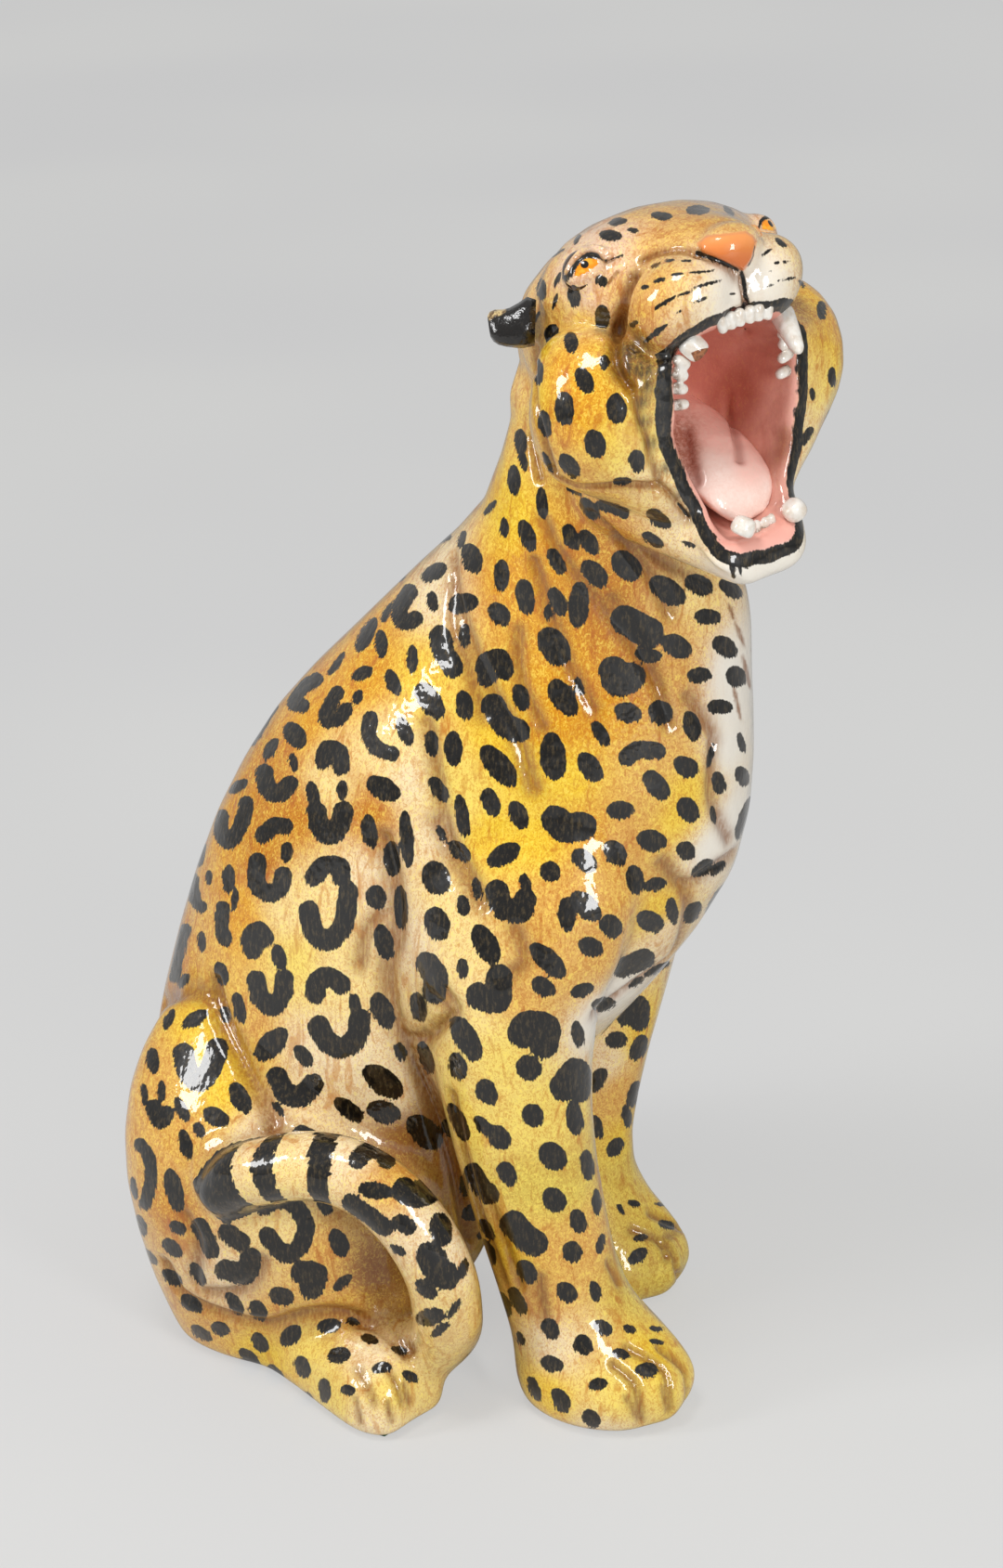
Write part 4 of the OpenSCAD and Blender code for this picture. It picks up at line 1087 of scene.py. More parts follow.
def new_piece(name, points, faces, material, replaced):
    """Mesh object that rides on the statue and stands for some CAD nodes."""
    mesh = bpy.data.meshes.new(name)
    mesh.vertices.add(len(points))
    mesh.vertices.foreach_set("co", (points * MM).astype(np.float32).ravel())
    sides = faces.shape[1]
    mesh.loops.add(faces.size)
    mesh.loops.foreach_set("vertex_index", faces.astype(np.int32).ravel())
    mesh.polygons.add(len(faces))
    mesh.polygons.foreach_set("loop_start", np.arange(0, faces.size, sides, dtype=np.int32))
    mesh.polygons.foreach_set("use_smooth", np.ones(len(faces), bool))
    mesh.update(calc_edges=True)
    mesh.validate()
    mesh.materials.append(material)
    piece = add_object(name, mesh)
    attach(piece, "root")
    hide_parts(*replaced)
    return piece


def set_number(piece, name, values):
    """Number at each point that a material reads."""
    layer = piece.data.attributes.new(name, "FLOAT", "POINT")
    layer.data.foreach_set("value", np.asarray(values, np.float32))


def set_colour(piece, name, values):
    """Colour at each point that a material reads."""
    layer = piece.data.attributes.new(name, "FLOAT_COLOR", "POINT")
    opaque = np.column_stack([values, np.ones(len(values))])
    layer.data.foreach_set("color", opaque.astype(np.float32).ravel())


def cut_level(piece, height, keep_above):
    """Cut a piece at a level and close it with a flat cap."""
    mesh = bmesh.new()
    mesh.from_mesh(piece.data)
    side = -1 if keep_above else 1
    cut = bmesh.ops.bisect_plane(
        mesh, geom=mesh.verts[:] + mesh.edges[:] + mesh.faces[:], plane_co=(0, 0, height * MM),
        plane_no=(0, 0, side), clear_outer=True)
    rim = [item for item in cut["geom_cut"] if isinstance(item, bmesh.types.BMEdge)]
    caps = bmesh.ops.holes_fill(mesh, edges=rim, sides=0)["faces"]
    for cap in caps:
        cap.smooth = False
        for edge in cap.edges:
            edge.smooth = False
    mesh.to_mesh(piece.data)
    mesh.free()


# Materials

def linear(colour):
    """Linear light of a colour given in 0 to 255."""
    c = np.asarray(colour, float) / 255
    return np.where(c <= 0.04045, c / 12.92, ((c + 0.055) / 1.055) ** 2.4)


class Nodes:
    """Short way to build a material's nodes."""

    def __init__(self, name):
        self.material = bpy.data.materials.new(name)
        self.material.use_nodes = True
        self.tree = self.material.node_tree
        self.shader = self.tree.nodes["Principled BSDF"]
        self.place = self.add("ShaderNodeTexCoord").outputs["Object"]

    def add(self, kind, **settings):
        node = self.tree.nodes.new(kind)
        for key, value in settings.items():
            setattr(node, key, value)
        return node

    def join(self, source, target):
        """Link an output to a socket, or set the socket to a value."""
        if isinstance(source, bpy.types.NodeSocket):
            self.tree.links.new(source, target)
        else:
            target.default_value = source

    def number(self, name):
        return self.add("ShaderNodeAttribute", attribute_name=name).outputs["Fac"]

    def colour(self, name):
        return self.add("ShaderNodeAttribute", attribute_name=name).outputs["Color"]

    def math(self, operation, a, b=0.0):
        node = self.add("ShaderNodeMath", operation=operation)
        self.join(a, node.inputs[0])
        self.join(b, node.inputs[1])
        return node.outputs[0]

    def times(self, a, b):
        return self.math("MULTIPLY", a, b)

    def ramp(self, value, low, high, start=0.0, end=1.0):
        """Smooth change from start to end while a value goes from low to high."""
        node = self.add("ShaderNodeMapRange", interpolation_type="SMOOTHSTEP")
        for socket, given in zip(node.inputs[:5], (value, low, high, start, end)):
            self.join(given, socket)
        return node.outputs[0]

    def noise(self, size, stretch=(1, 1, 1), detail=3.0, roughness=0.55, distortion=0.0):
        """Noise from 0 to 1 with grains of about size millimetres, times stretch along each axis."""
        mapping = self.add("ShaderNodeMapping")
        self.join(self.place, mapping.inputs["Vector"])
        mapping.inputs["Scale"].default_value = [1 / (size * s * MM) for s in stretch]
        node = self.add("ShaderNodeTexNoise")
        self.join(mapping.outputs[0], node.inputs["Vector"])
        node.inputs["Scale"].default_value = 1.0
        node.inputs["Detail"].default_value = detail
        node.inputs["Roughness"].default_value = roughness
        node.inputs["Distortion"].default_value = distortion
        return node.outputs[0]

    def sway(self, noise, width):
        """Noise turned into a number around 0, as wide as given."""
        return self.times(self.math("SUBTRACT", noise, 0.5), width)

    def mix(self, share, a, b):
        """Colour between a and b."""
        node = self.add("ShaderNodeMix", data_type="RGBA")
        self.join(share, node.inputs[0])
        for socket, given in ((node.inputs[6], a), (node.inputs[7], b)):
            self.join(given if isinstance(given, bpy.types.NodeSocket) else (*linear(given), 1), socket)
        return node.outputs[2]

    def shade(self, a, b):
        """Colour a darkened by colour b."""
        node = self.add("ShaderNodeMix", data_type="RGBA", blend_type="MULTIPLY")
        node.inputs[0].default_value = 1
        self.join(a, node.inputs[6])
        node.inputs[7].default_value = (*linear(b), 1)
        return node.outputs[2]

    def finish(self, colour, roughness, coat=0.0, coat_roughness=0.03, specular=0.5, bumps=()):
        """Set the shader; bumps are pairs of a height and its depth in millimetres."""
        self.join(colour, self.shader.inputs["Base Color"])
        self.join(roughness, self.shader.inputs["Roughness"])
        self.shader.inputs["Coat Weight"].default_value = coat
        self.shader.inputs["Coat Roughness"].default_value = coat_roughness
        self.shader.inputs["Specular IOR Level"].default_value = specular
        normal = None
        for height, depth in bumps:
            bump = self.add("ShaderNodeBump")
            bump.inputs["Distance"].default_value = depth * MM
            self.join(height, bump.inputs["Height"])
            if normal is not None:
                self.join(normal, bump.inputs["Normal"])
            normal = bump.outputs[0]
        if normal is not None:
            self.join(normal, self.shader.inputs["Normal"])
            self.join(normal, self.shader.inputs["Coat Normal"])
        return self.material


def coat_material():
    """Spotted coat under clear glaze: sponged tint, brown wash and painted shade in the folds, painted shadow
    beside the lips and feathered spots.
    """
    n = Nodes("coat_glaze")
    tint = n.colour("tint")
    mottle = n.number("mottle")
    grain = n.noise(2.3, stretch=(1, 1, 1.4), detail=3, roughness=0.6, distortion=1.4)
    clouds = n.noise(42, detail=4, distortion=0.8)
    folds = n.noise(13, stretch=(1, 1, 4), detail=4, roughness=0.6, distortion=1.6)
    dark = n.times(n.ramp(grain, 0.48, 0.62, 0, 0.6), mottle)
    ground = n.mix(dark, tint, n.shade(tint, (218, 170, 84)))
    pale = n.times(n.ramp(grain, 0.48, 0.36, 0, 0.5), mottle)
    ground = n.mix(pale, ground, (255, 228, 96))
    streaked = n.ramp(folds, 0.53, 0.68, 0, 0.6)
    clouded = n.ramp(clouds, 0.54, 0.72, 0, 0.3)
    rust = n.times(n.math("ADD", streaked, clouded), mottle)
    ground = n.mix(rust, ground, n.shade(tint, (206, 146, 64)))
    streaks = n.noise(2.2, stretch=(1, 1, 5), detail=3)
    # Brown in grooves, hollows and along the brown marks: partly brown wash, partly painted shade
    wash_and_shade = n.times(n.number("crease"), n.ramp(streaks, 0.2, 0.7, 0.55, 1.0))
    ground = n.mix(wash_and_shade, ground, (138, 84, 28))
    # Painted shadow, dark brown-grey, in the crease behind the whisker pad and along the lips
    soot = n.times(n.number("soot"), n.ramp(streaks, 0.3, 0.65, 0.6, 1.0))
    ground = n.mix(soot, ground, (50, 40, 26))
    hairs = n.sway(n.noise(1.5, stretch=(1, 1, 7), detail=2), 1.0)
    feather = n.times(hairs, n.ramp(n.number("hem"), -0.3, 0.8, 1.0, 6.0))
    wobble = n.sway(n.noise(7, detail=2), 2.5)
    edge = n.math("ADD", n.number("spot"), n.math("ADD", feather, wobble))
    ink = n.ramp(edge, 0.4, -0.4)
    marks = n.ramp(n.noise(2.4, stretch=(1, 1, 3), detail=4, roughness=0.7), 0.48, 0.7, 0, 0.65)
    colour = n.mix(ink, ground, n.mix(marks, (9, 7, 5), (86, 72, 46)))
    return n.finish(colour, n.ramp(clouds, 0.2, 0.8, 0.3, 0.42), coat=1.0, coat_roughness=0.035, specular=0.2,
                    bumps=[(n.noise(15, detail=2), 0.9), (n.noise(5, stretch=(1, 1, 1.8), detail=2), 0.16)])


def tooth_material():
    """Ivory glaze, brown towards the gum, and bare clay where a tooth is broken."""
    n = Nodes("tooth_glaze")
    ivory = n.mix(n.ramp(n.noise(6, detail=3), 0.35, 0.7), (240, 236, 228), (222, 210, 194))
    brown_at_gum = n.times(n.number("brown_at_gum"), n.ramp(n.noise(2, detail=3), 0.3, 0.65, 0.25, 0.8))
    colour = n.mix(brown_at_gum, ivory, (112, 82, 58))
    bare = n.mix(n.ramp(n.noise(2, detail=4), 0.35, 0.65), (164, 104, 62), (112, 66, 38))
    broken = n.ramp(n.number("broken"), 0.4, 0.6)
    return n.finish(n.mix(broken, colour, bare), n.ramp(n.number("broken"), 0.4, 0.6, 0.25, 0.7), coat=0.8,
                    coat_roughness=0.05, specular=0.3, bumps=[(n.noise(5, detail=2), 0.3)])


def tongue_material():
    """Salmon glaze, darker in the grooves: a wash and painted shade."""
    n = Nodes("tongue_glaze")
    tint = n.colour("tint")
    grain = n.ramp(n.noise(2.8, detail=4, distortion=0.8), 0.36, 0.66, 0, 0.5)
    colour = n.mix(grain, tint, (246, 206, 190))
    colour = n.mix(n.number("crease"), colour, (150, 80, 66))
    return n.finish(colour, 0.3, coat=1.0, coat_roughness=0.04, specular=0.2,
                    bumps=[(n.noise(13, detail=2), 0.9), (n.noise(2, detail=2), 0.1)])


def ear_material():
    """Black glaze with a pale tip."""
    n = Nodes("ear_glaze")
    streaks = n.ramp(n.noise(3, stretch=(1, 1, 3), detail=4), 0.55, 0.75, 0, 0.4)
    black = n.mix(streaks, (20, 17, 15), (60, 54, 46))
    cream = n.mix(n.ramp(n.noise(4, detail=3), 0.42, 0.6), (222, 196, 140), (110, 86, 58))
    colour = n.mix(n.ramp(n.number("tip"), 0.3, 0.7), black, cream)
    return n.finish(colour, 0.3, coat=1.0, coat_roughness=0.035, specular=0.2,
                    bumps=[(n.noise(7, detail=3), 1.2), (n.noise(2.5, detail=2), 0.2)])


def eye_material():
    """Amber iris with a black pupil and a dark rim."""
    n = Nodes("eye_glaze")
    out = n.number("iris")
    amber = n.mix(n.ramp(n.noise(5, detail=2), 0.4, 0.6), (252, 150, 12), (250, 178, 48))
    colour = n.mix(n.ramp(out, 9.5, 11.5), amber, (60, 36, 16))
    colour = n.mix(n.ramp(out, 2.9, 2.4), colour, (12, 9, 8))
    return n.finish(colour, 0.15, coat=1.0, coat_roughness=0.02, specular=0.3,
                    bumps=[(n.noise(4, detail=2), 0.05)])


def felt_material():
    """Matt green felt."""
    n = Nodes("felt")
    fibres = n.noise(0.8, stretch=(1, 1, 0.4), detail=5, roughness=0.7)
    colour = n.mix(n.ramp(fibres, 0.35, 0.65), (24, 62, 40), (44, 96, 62))
    return n.finish(colour, 0.95, bumps=[(fibres, 0.5)])


def floor_material():
    """Pale seamless paper: the camera sees a share of it as an even glow, the rest takes light and shadow."""
    n = Nodes("floor")
    paper = n.mix(n.ramp(n.noise(900, detail=1), 0.3, 0.7), FLOOR_COLOURS[0], FLOOR_COLOURS[1])
    n.finish(paper, 0.9, specular=0.0)
    glow = n.add("ShaderNodeEmission")
    n.join(paper, glow.inputs["Color"])
    glow.inputs["Strength"].default_value = GLOW_POWER
    both = n.add("ShaderNodeMixShader")
    to_camera = n.add("ShaderNodeLightPath").outputs["Is Camera Ray"]
    n.join(n.times(to_camera, GLOW_SHARE), both.inputs[0])
    n.join(n.shader.outputs[0], both.inputs[1])
    n.join(glow.outputs[0], both.inputs[2])
    n.join(both.outputs[0], n.tree.nodes["Material Output"].inputs["Surface"])
    return n.material


# Clay skins

low, high = corners_mm(cad_box)
head_low, head_high = corners_mm(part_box("head_shell"))
jaw_low, _ = corners_mm(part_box("lower_jaw"))
body_high = [high[0] + GRID_MARGIN, high[1] + GRID_MARGIN, SEAM_Z + SEAM_LAP]
body_points, body_quads = clay_skin(CLAY_NODES, BODY_STEP, low - GRID_MARGIN, body_high)
neck_low = np.minimum(head_low, jaw_low) - GRID_MARGIN
neck_low[2] = SEAM_Z - SEAM_LAP
neck_high = np.maximum(head_high, [*NECK_CORNER, high[2]]) + GRID_MARGIN
head_points, head_quads = clay_skin(NECK_NODES, HEAD_STEP, neck_low, neck_high)
body_points[:, 2] = np.maximum(body_points[:, 2], CLAY_BOTTOM)
body_normals = normals_of(body_points, body_quads)
head_normals = normals_of(head_points, head_quads)

# One surface of both, each up to the seam, on which places are found
below = (body_points[:, 2] < SEAM_Z + SEAM_OVERLAP)[body_quads].all(1)
above = (head_points[:, 2] > SEAM_Z - SEAM_OVERLAP)[head_quads].all(1)
clay = Clay([(body_points, body_quads[below]), (head_points, head_quads[above])])

# Mirror planes: the body's middle, and the middle of the head between the ears
right_eye, left_eye = (node_middle(name) for name in EYE_NODES)
ear_places = [node_middle(name) for name in EAR_NODES]
head_middle = (ear_places[0] + ear_places[1]) / 2
head_across = unit(ear_places[1] - ear_places[0])
fore_mounts = {mount["name"]: np.array(mount["pos_m"]) / MM for mount in frame["record"]["mounts"]}
fore_step = fore_mounts["left_fore_rest"][1] - fore_mounts["right_fore_rest"][1]


def body_mirror(point):
    """Matching place on the other side of the body: the other foreleg stands a step away."""
    step = fore_step * rise(*STEP_FADE, point[2]) if point[1] < 0 else 0
    return np.array([-point[0], point[1] + step, point[2]])


def head_turned(vectors):
    """Directions seen in the mirror between the two sides of the face."""
    return vectors - 2 * np.multiply.outer(vectors @ head_across, head_across)


def head_mirror(points):
    """Matching places on the other side of the face."""
    return head_middle + head_turned(points - head_middle)


def either_mirror(point):
    """Matching place on the other side of the head or the body, whichever the point is on."""
    return head_mirror(point) if point[2] > SEAM_Z + HEAD_ABOVE_SEAM else body_mirror(point)


def mirrored(stroke, mirror):
    """Stroke on the other side, or None where the clay isn't near or the photograph shows the place."""
    found = [clay.nearest(mirror(point), MIRROR_REACH) for point in stroke.path]
    if any(item is None for item in found):
        return None
    if not all(clay.hidden(point, normal) for point, normal in found):
        return None
    path, normals = zip(*found)
    return Stroke(path, normals, stroke.half_width)


def with_mirrors(strokes, mirror):
    """Strokes and those of the other side that don't touch them."""
    marks = Marks(strokes)
    for stroke in strokes:
        other = mirrored(stroke, mirror)
        if other is not None and marks.gap(other.path.mean(0)) > other.half_width + MIRROR_GAP:
            marks.add(other)
    return marks.strokes


def brushed(table, growth=(1, 1)):
    """Strokes of lists of marks, each with its window."""
    return [brush(clay, window, row, growth) for window, rows in table for row in rows]


body_spots = brushed(
    [(FLANK, FLANK_SPOTS), (HIND, HIND_SPOTS), (FORE, FORE_SPOTS), (NECK, NECK_SPOTS)], SPOT_GROWTH)
tail_spots = brushed([(HIND, TAIL_SPOTS)], SPOT_GROWTH)
face_spots = brushed([(FACE, FACE_SPOTS), (FACE, FAR_FACE_SPOTS)], SPOT_GROWTH)
face_marks = brushed([(FACE, WHISKER_MARKS), (FACE, FACE_LINES), (FACE, CHIN_MARKS)])
far_marks = brushed([(FACE, FAR_WHISKER_MARKS)])
brown_marks = brushed([(FACE, FACE_BROWN), (NECK, CHEST_BROWN)])
groove_tables = [
    (FACE, FACE_GROOVES), (NECK, NECK_GROOVES), (FLANK, FLANK_GROOVES), (HIND, HIND_GROOVES),
    (FORE, FORE_GROOVES),
]
grooves = [groove(clay, window, row) for window, rows in groove_tables for row in rows]
for depth, stroke in list(grooves):
    other = mirrored(stroke, either_mirror)
    if other is not None:
        grooves.append((depth, other))

body_spots = with_mirrors(body_spots, body_mirror)
face_spots = with_mirrors(face_spots, head_mirror)
face_marks = with_mirrors(face_marks, head_mirror) + far_marks

# Spots where the photograph doesn't show the coat, laid by a seeded draw that keeps them apart
rng = np.random.default_rng(SPOT_SEED)
marks = Marks(body_spots + tail_spots + face_spots + face_marks)
hidden_spots = []
clay_normals = np.concatenate([body_normals, head_normals])
used = np.concatenate([body_points[:, 2] < SEAM_Z, head_points[:, 2] > SEAM_Z])
mouth_tree = node_tree(["mouth_lining", "tongue"])
steps = np.concatenate([np.full(len(body_points), BODY_STEP), np.full(len(head_points), HEAD_STEP)])
areas = steps ** 2 * used
choices = rng.choice(len(used), SPOT_TRIES, replace=False, p=areas / areas.sum())
for number in choices:
    point, normal = clay.points[number], clay_normals[number]
    half = rng.uniform(*SPOT_HALF)
    on_flank = point[1] > ROSETTE_FRONT and ROSETTE_ZONE[0] < point[2] < ROSETTE_ZONE[1]
    rosette = on_flank and rng.random() < ROSETTE_CHANCE
    reach = (ROSETTE_RADIUS + ROSETTE_HALF if rosette else half + SPOT_LENGTH / 2) + SPOT_GAP
    if point[2] < SPOT_LOWEST or marks.gap(point) < reach or not clay.hidden(point, normal):
        continue
    if mouth_tree.find_nearest(Vector(point), MOUTH_REACH)[0] is not None:
        continue
    down = np.array([0, 0, -1.0])
    down -= normal * (down @ normal)
    down /= max(np.linalg.norm(down), TINY)
    side = np.cross(normal, down)
    if rosette:
        start = rng.uniform(*ROSETTE_START)
        angles = np.linspace(start, start + rng.uniform(*ROSETTE_SWEEP), ROSETTE_STEPS) + math.pi
        path = [point + ROSETTE_RADIUS * (math.cos(a) * down + math.sin(a) * side) for a in angles]
        half = ROSETTE_HALF
    else:
        path = [point - down * SPOT_LENGTH / 2, point + down * SPOT_LENGTH / 2]
    found = [clay.nearest(place, MIRROR_REACH) for place in path]
    path, normals = zip(*[item for item in found if item is not None])
    hidden_spots.append(Stroke(path, normals, half))
    marks.add(hidden_spots[-1])


def carve(points, quads):
    """Skin with the grooves cut in, the brown wash and painted shade in them, and how hollow the skin was,
    which sets the painted shade in hollows.
    """
    normals = normals_of(points, quads)
    depth = np.zeros(len(points))
    wash_and_shade = np.zeros(len(points))
    for amount, stroke in grooves:
        near, share, cut = groove_cut(GROOVE_GAIN * amount, stroke, points, normals)
        depth[near] -= cut
        if amount > 0:
            wash_and_shade[near] = np.maximum(wash_and_shade[near], np.exp(-WASH_AND_SHADE_SPREAD * share))
    hollow = np.einsum("ij,ij->i", relaxed(points, quads, HOLLOW_PASSES) - points, normals)
    depth = np.clip(depth, -GROOVE_LIMIT, GROOVE_LIMIT)
    return points + normals * depth[:, None], wash_and_shade, hollow


def painted(points, normals, strokes):
    """Distance to the nearest edge of some strokes, below 0 inside, and how low a point lies on its stroke."""
    spot = np.full(len(points), float(PAINT_REACH))
    hem = np.zeros(len(points))
    places = window_places(PHOTO, points)
    for stroke in strokes:
        near, gap, drop = stroke.gaps(points, normals, places, PAINT_REACH)
        closer = gap < spot[near]
        spot[near[closer]] = gap[closer]
        hem[near[closer]] = drop[closer]
    return spot, hem


def eye_carve(points, centre, far):
    """Points of the head around an eye: sunk inside its opening and raised as lids around it."""
    near = np.flatnonzero(np.linalg.norm(points - centre, axis=1) < EYE_REACH)
    out = points[near] - centre
    as_right = head_turned(out) if far else out
    gap = polygon_gap(FACE, EYE_OPENING, right_eye + as_right)
    radius = np.linalg.norm(out, axis=1)
    facing = as_right @ right_gaze > 0
    target = np.where(gap < 0, EYE_R - LID_SINK, EYE_R + LID_RISE)
    share = rise(*LID_FADE, gap) * facing
    points[near] = centre + out * (1 + share * (target / radius - 1))[:, None]


def warped(points):
    """Points of the clay moved across the line of sight by the warps' shifts."""
    right, up, _ = camera_axes()
    points = points.copy()
    for window, place, reach, spread, table in WARPS:
        gap = np.linalg.norm(points - clay.seen(window, *place)[0], axis=1)
        near = np.flatnonzero(gap < reach[0])
        places = window_places(window, points[near])
        total = np.zeros((len(near), 2))
        weight = np.full(len(near), WARP_FADE)
        for x, y, dx, dy in table:
            share = np.exp(-0.5 * ((places - (x, y)) ** 2).sum(1) / spread ** 2)
            total += share[:, None] * (dx, dy)
            weight += share
        shift = total / weight[:, None] * rise(*reach, gap[near])[:, None] * window_mm(window)
        points[near] += shift[:, :1] * right - shift[:, 1:] * up
    return points


def nose_gap(points, normals):
    """Distance to the nose leather's edge, below 0 inside; the mirror side counts where none is seen."""
    middle = clay.seen(FACE, *NOSE_MIDDLE)[0]
    turned = np.einsum("ij,ij->i", normals, CAMERA_AT - points) < 0
    gap = np.full(len(points), float(NOSE_REACH))
    for view, counts in ((points, np.ones(len(points), bool)), (head_mirror(points), turned)):
        near = np.flatnonzero((np.linalg.norm(view - middle, axis=1) < NOSE_REACH) & counts)
        gap[near] = np.minimum(gap[near], polygon_gap(FACE, NOSE_LEATHER, view[near]))
    return gap


# Right eye looks out at the place of its pupil
line = sight(FACE, *PUPIL_AT)
nearest_on_line = CAMERA_AT + line * ((right_eye - CAMERA_AT) @ line)
away = np.linalg.norm(nearest_on_line - right_eye)
right_gaze = unit(nearest_on_line - line * math.sqrt(max(EYE_R ** 2 - away ** 2, 0)) - right_eye)

coat = coat_material()
coat_dabs = dab_places(clay, DABS, [either_mirror])
coat_spots = body_spots + hidden_spots + face_spots
skins = {}
for name, points, quads, strokes in (
        ("body", body_points, body_quads, coat_spots),
        ("head", head_points, head_quads, coat_spots + face_marks)):
    points, wash_and_shade, hollow = carve(points, quads)
    cast = points
    points = warped(points)
    if name == "head":
        eye_carve(points, right_eye, False)
        eye_carve(points, left_eye, True)
    normals = normals_of(points, quads)
    spot, hem = painted(points, normals, strokes)
    brown, _ = painted(points, normals, brown_marks)
    tint = tinted(points, coat_dabs, DAB_CORE)
    # Brown of grooves, hollows and brown marks: partly brown wash, partly painted shade in the hollows
    hollow = HOLLOW_SHARE * np.clip(hollow / HOLLOW_DEPTH, 0, 1)
    crease = np.clip(WASH_AND_SHADE_SHARE * wash_and_shade + hollow + rise(*BROWN_FADE, brown), 0, 1)
    span = tint.max(1) - tint.min(1)
    mottle = rise(*MOTTLE_SPAN, span)
    skins[name] = dict(points=points, cast=cast, quads=quads, normals=normals, spot=spot, hem=hem, tint=tint,
                       crease=crease, soot=np.zeros(len(points)), mottle=mottle)

# Tail: its own spots, two bands and a black tip
body = skins["body"]
tail_tree = node_tree(["tail"])
tail_low, tail_high = corners_mm(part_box("tail"))
in_box = (body["cast"] > tail_low - TAIL_MARGIN) & (body["cast"] < tail_high + TAIL_MARGIN)
in_box = np.flatnonzero(in_box.all(1))
on_tail = in_box[tree_distances(tail_tree, body["cast"][in_box], TAIL_REACH) < TAIL_SKIN]
spot, _ = painted(body["points"][on_tail], body["normals"][on_tail], tail_spots + hidden_spots)
back = camera_axes()[2]


def tail_middle(x, y):
    """Point in the middle of the tail behind a place of the photograph."""
    return clay.seen(HIND, x, y)[0] - back * TAIL_RADIUS


def tail_place(x, y):
    """How far along the tail a place of the photograph lies."""
    return along[np.linalg.norm(tail_line - tail_middle(x, y), axis=1).argmin()]


tail_line = curve_places([tail_middle(*place) for place in TAIL_LINE], TAIL_SPACING)
along = np.concatenate([[0], np.cumsum(np.linalg.norm(np.diff(tail_line, axis=0), axis=1))])
gaps = np.linalg.norm(body["cast"][on_tail][:, None] - tail_line[None], axis=2)
place = along[gaps.argmin(1)]
for x, y, half in TAIL_BANDS:
    spot = np.minimum(spot, np.abs(place - tail_place(x, y)) - half)
spot = np.minimum(spot, place - tail_place(*TAIL_TIP_END))
body["spot"][on_tail] = spot
body["hem"][on_tail] = TAIL_HEM

# Head: nose leather, then the mouth by how far each point lies on the lining's side of the lips
head = skins["head"]
nose = nose_gap(head["points"], head["normals"])
head["points"] += head["normals"] * (NOSE_RISE * rise(*NOSE_FADE, nose))[:, None]
leather = rise(*LEATHER_FADE, nose)[:, None]
# Nose leather darker below and lighter on top: painted shade and painted light
nose_height = (head["points"] - clay.seen(FACE, *NOSE_MIDDLE)[0]) @ camera_axes()[1]
painted_nose_light = rise(*PAINTED_NOSE_LIGHT_SPAN, nose_height)[:, None]
leather_colour = mixed(linear(GLAZE["nose_painted_shade"]), linear(GLAZE["nose"]), painted_nose_light)
head["tint"] = mixed(head["tint"], leather_colour, leather)
head["mottle"] *= 1 - leather[:, 0]
head["crease"] *= 1 - LEATHER_CREASE * leather[:, 0]

shell_gap = tree_distances(node_tree(["head_shell", "lower_jaw"]), head["cast"], MOUTH_REACH)
lining_gap = tree_distances(node_tree(["mouth_lining"]), head["cast"], MOUTH_REACH)
mouth = np.where(lining_gap < MOUTH_REACH, lining_gap - shell_gap, MOUTH_REACH)
cleft = np.linalg.norm(head["cast"] - clay.seen(FACE, *THROAT_AT)[0], axis=1) < CLEFT_REACH
mouth[cleft] = -MOUTH_REACH
pink = rise(*LIP_INSIDE, mouth)
lip = np.abs(mouth - LIP_MIDDLE) - LIP_HALF
inside = mouth < LIP_MIDDLE - LIP_HALF - LIP_EDGE
head["spot"] = np.where(inside, MOUTH_REACH, np.minimum(head["spot"], lip))
head["hem"] = np.where(lip < head["spot"] + LIP_TIE, 0, head["hem"])
mouth_tint = tinted(head["points"], dab_places(clay, MOUTH_DABS), MOUTH_CORE)
head["tint"] = mixed(head["tint"], mouth_tint, pink[:, None])
head["mottle"] *= 1 - PINK_MOTTLE * pink
head["crease"] *= 1 - PINK_CREASE * pink
# Painted shadow beside the lips and behind the whisker pad, kept off the inside of the mouth
for x, y, reach, strength in LIP_SHADOW_DABS:
    gap = np.linalg.norm(head["points"] - clay.seen(FACE, x, y)[0], axis=1)
    head["soot"] = np.maximum(head["soot"], strength * np.exp(-(gap / reach) ** 2) * (1 - pink))

for name, nodes, keep_above in (("body", BODY_NODES, False), ("head", HEAD_NODES, True)):
    skin = skins[name]
    piece = new_piece(name + "_glaze", skin["points"], skin["quads"], coat, nodes)
    set_colour(piece, "tint", skin["tint"])
    for layer in ("spot", "hem", "crease", "soot", "mottle"):
        set_number(piece, layer, skin[layer])
    cut_level(piece, SEAM_Z, keep_above)

# Eyes: a ball with a cornea over its iris
eye_glaze = eye_material()
turns = np.arange(EYE_AROUND) * 2 * math.pi / EYE_AROUND
circle = np.column_stack([np.cos(turns), np.sin(turns)])
angles = np.linspace(EYE_POLE, math.pi - EYE_POLE, EYE_RINGS)
for name, centre, gaze in zip(EYE_NODES, (right_eye, left_eye), (right_gaze, head_turned(right_gaze))):
    across = unit(np.cross(gaze, [0, 0, 1]))
    upward = np.cross(across, gaze)
    rings = []
    for angle in angles:
        out = EYE_R * math.sin(angle)
        ahead = EYE_R * math.cos(angle)
        if ahead > 0:
            ahead += CORNEA * math.exp(-(out / CORNEA_R) ** 2)
        rings.append(centre + gaze * ahead + out * (circle[:, :1] * across + circle[:, 1:] * upward))
    points, faces = loft(np.array(rings))
    piece = new_piece(name + "_glaze", points, faces, eye_glaze, [name])
    out = points - centre
    radius = np.linalg.norm(out - np.multiply.outer(out @ gaze, gaze), axis=1)
    set_number(piece, "iris", np.where(out @ gaze > 0, radius, EYE_R))

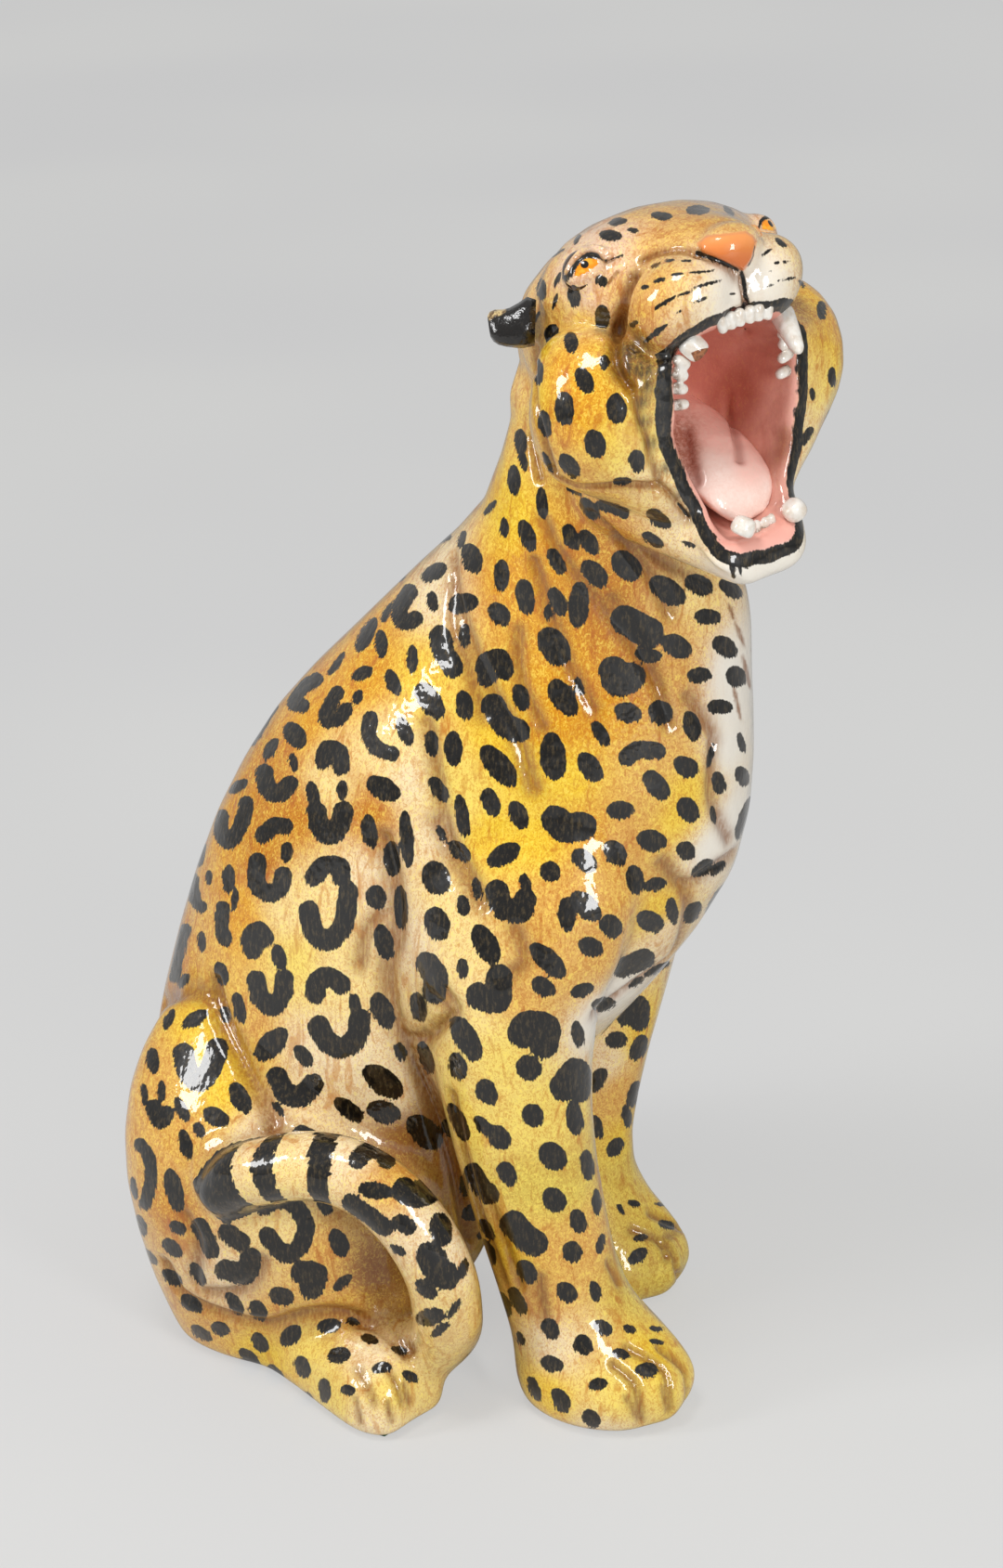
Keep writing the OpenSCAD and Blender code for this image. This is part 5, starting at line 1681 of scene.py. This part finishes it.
# Ears: sections from root to tip between the upper and lower edges that the photograph shows
ear_glaze = ear_material()
ear_depth = (ear_places[0] - CAMERA_AT) @ -back


def ear_edge(x, y):
    """Point as deep as the ear that the camera sees at a place."""
    line = sight(EAR, x, y)
    return CAMERA_AT + line * ear_depth / (line @ -back)


sections = []
for top_x, top_y, low_x, low_y, thick in EAR_ROWS:
    top, bottom = ear_edge(top_x, top_y), ear_edge(low_x, low_y)
    row = [top + (bottom - top) * share + back * thick * bulge for share, bulge in EAR_SECTION]
    sections.append(curve_places(row + row[:1], EAR_SPACING)[:-1])
fewest = min(len(row) for row in sections)
rings = np.array([row[np.linspace(0, len(row) - 1, fewest).astype(int)] for row in sections])
right_points, right_faces = loft(rings)
tip = rise(*EAR_TIP_FADE, polygon_gap(EAR, EAR_TIP, right_points))
for name, points, faces in ((EAR_NODES[0], right_points, right_faces),
                            (EAR_NODES[1], head_mirror(right_points), right_faces[:, ::-1])):
    piece = new_piece(name + "_glaze", points, faces, ear_glaze, [name])
    set_number(piece, "tip", tip)

# Teeth: rounded, brown towards the gum, one with a broken end
tooth_glaze = tooth_material()
for name in TOOTH_NODES:
    blur, level = next(mould for kind, mould in TOOTH_MOULDS.items() if kind in name)
    points, quads = node_skin(name, TOOTH_STEP, blur, level)
    gum = tree_distances(clay.tree, points, TOOTH_REACH)
    piece = new_piece(name + "_glaze", points, quads, tooth_glaze, [name])
    set_number(piece, "brown_at_gum", rise(*GUM_BROWN_FADE, gum))
    broken = rise(gum.max() - BREAK_DEPTH, gum.max() - BREAK_DEPTH / 2, gum)
    set_number(piece, "broken", broken if name == BROKEN_NODE else gum * 0)

# Tongue: a groove along its middle
points, quads = node_skin("tongue", TONGUE_STEP, TONGUE_BLUR, 0.0)
surface = Clay([(points, quads)])
normals = normals_of(points, quads)
dip = np.zeros(len(points))
crease = np.zeros(len(points))
for row in TONGUE_GROOVES:
    near, share, cut = groove_cut(*groove(surface, FACE, row), points, normals)
    dip[near] -= cut
    # Darker salmon in the tongue's grooves: partly wash, partly painted shade
    crease[near] = np.maximum(crease[near], TONGUE_WASH_AND_SHADE * np.exp(-share))
tint = tinted(points, dab_places(surface, TONGUE_DABS), MOUTH_CORE)
points = points + normals * dip[:, None]
piece = new_piece("tongue_glaze", points, quads, tongue_material(), ["tongue"])
set_colour(piece, "tint", tint)
set_number(piece, "crease", crease)

# Felt: sheets a little smaller than the pads' solids
felt = felt_material()
for name in FELT_NODES:
    points, faces = node_arrays([name])
    middle = (points.min(0) + points.max(0)) / 2
    points[:, :2] = middle[:2] + FELT_SHARE * (points[:, :2] - middle[:2])
    points[:, :2] = warped(points)[:, :2]
    piece = new_piece(name + "_sheet", points, faces, felt, [name])
    piece.data.polygons.foreach_set("use_smooth", np.zeros(len(faces), bool))

make_camera()

# Floor and light
floor_mesh = bpy.data.meshes.new("floor")
corners = [(x * FLOOR_HALF, y * FLOOR_HALF, 0) for x, y in ((-1, -1), (1, -1), (1, 1), (-1, 1))]
floor_mesh.from_pydata(corners, [], [(0, 1, 2, 3)])
floor_mesh.materials.append(floor_material())
floor = add_object("floor", floor_mesh)


def area_light(name, azimuth, elevation, distance, size, power):
    """Soft light that looks at the statue's middle."""
    a, e = math.radians(azimuth), math.radians(elevation)
    toward = Vector((math.sin(a) * math.cos(e), -math.cos(a) * math.cos(e), math.sin(e)))
    data = bpy.data.lights.new(name, "AREA")
    data.shape = "RECTANGLE"
    data.size, data.size_y = size
    data.energy = power
    lamp = add_object(name, data)
    lamp.location = Vector((0, 0, LIGHT_AIM)) + toward * distance
    lamp.rotation_euler = toward.to_track_quat("Z", "Y").to_euler()


for lamp in LAMPS:
    area_light(*lamp)

world = bpy.data.worlds.new("world")
bpy.context.scene.world = world
world.use_nodes = True
world.node_tree.nodes["Background"].inputs["Color"].default_value = (*WORLD_GREY, 1)
bpy.context.scene.view_settings.view_transform = "Standard"
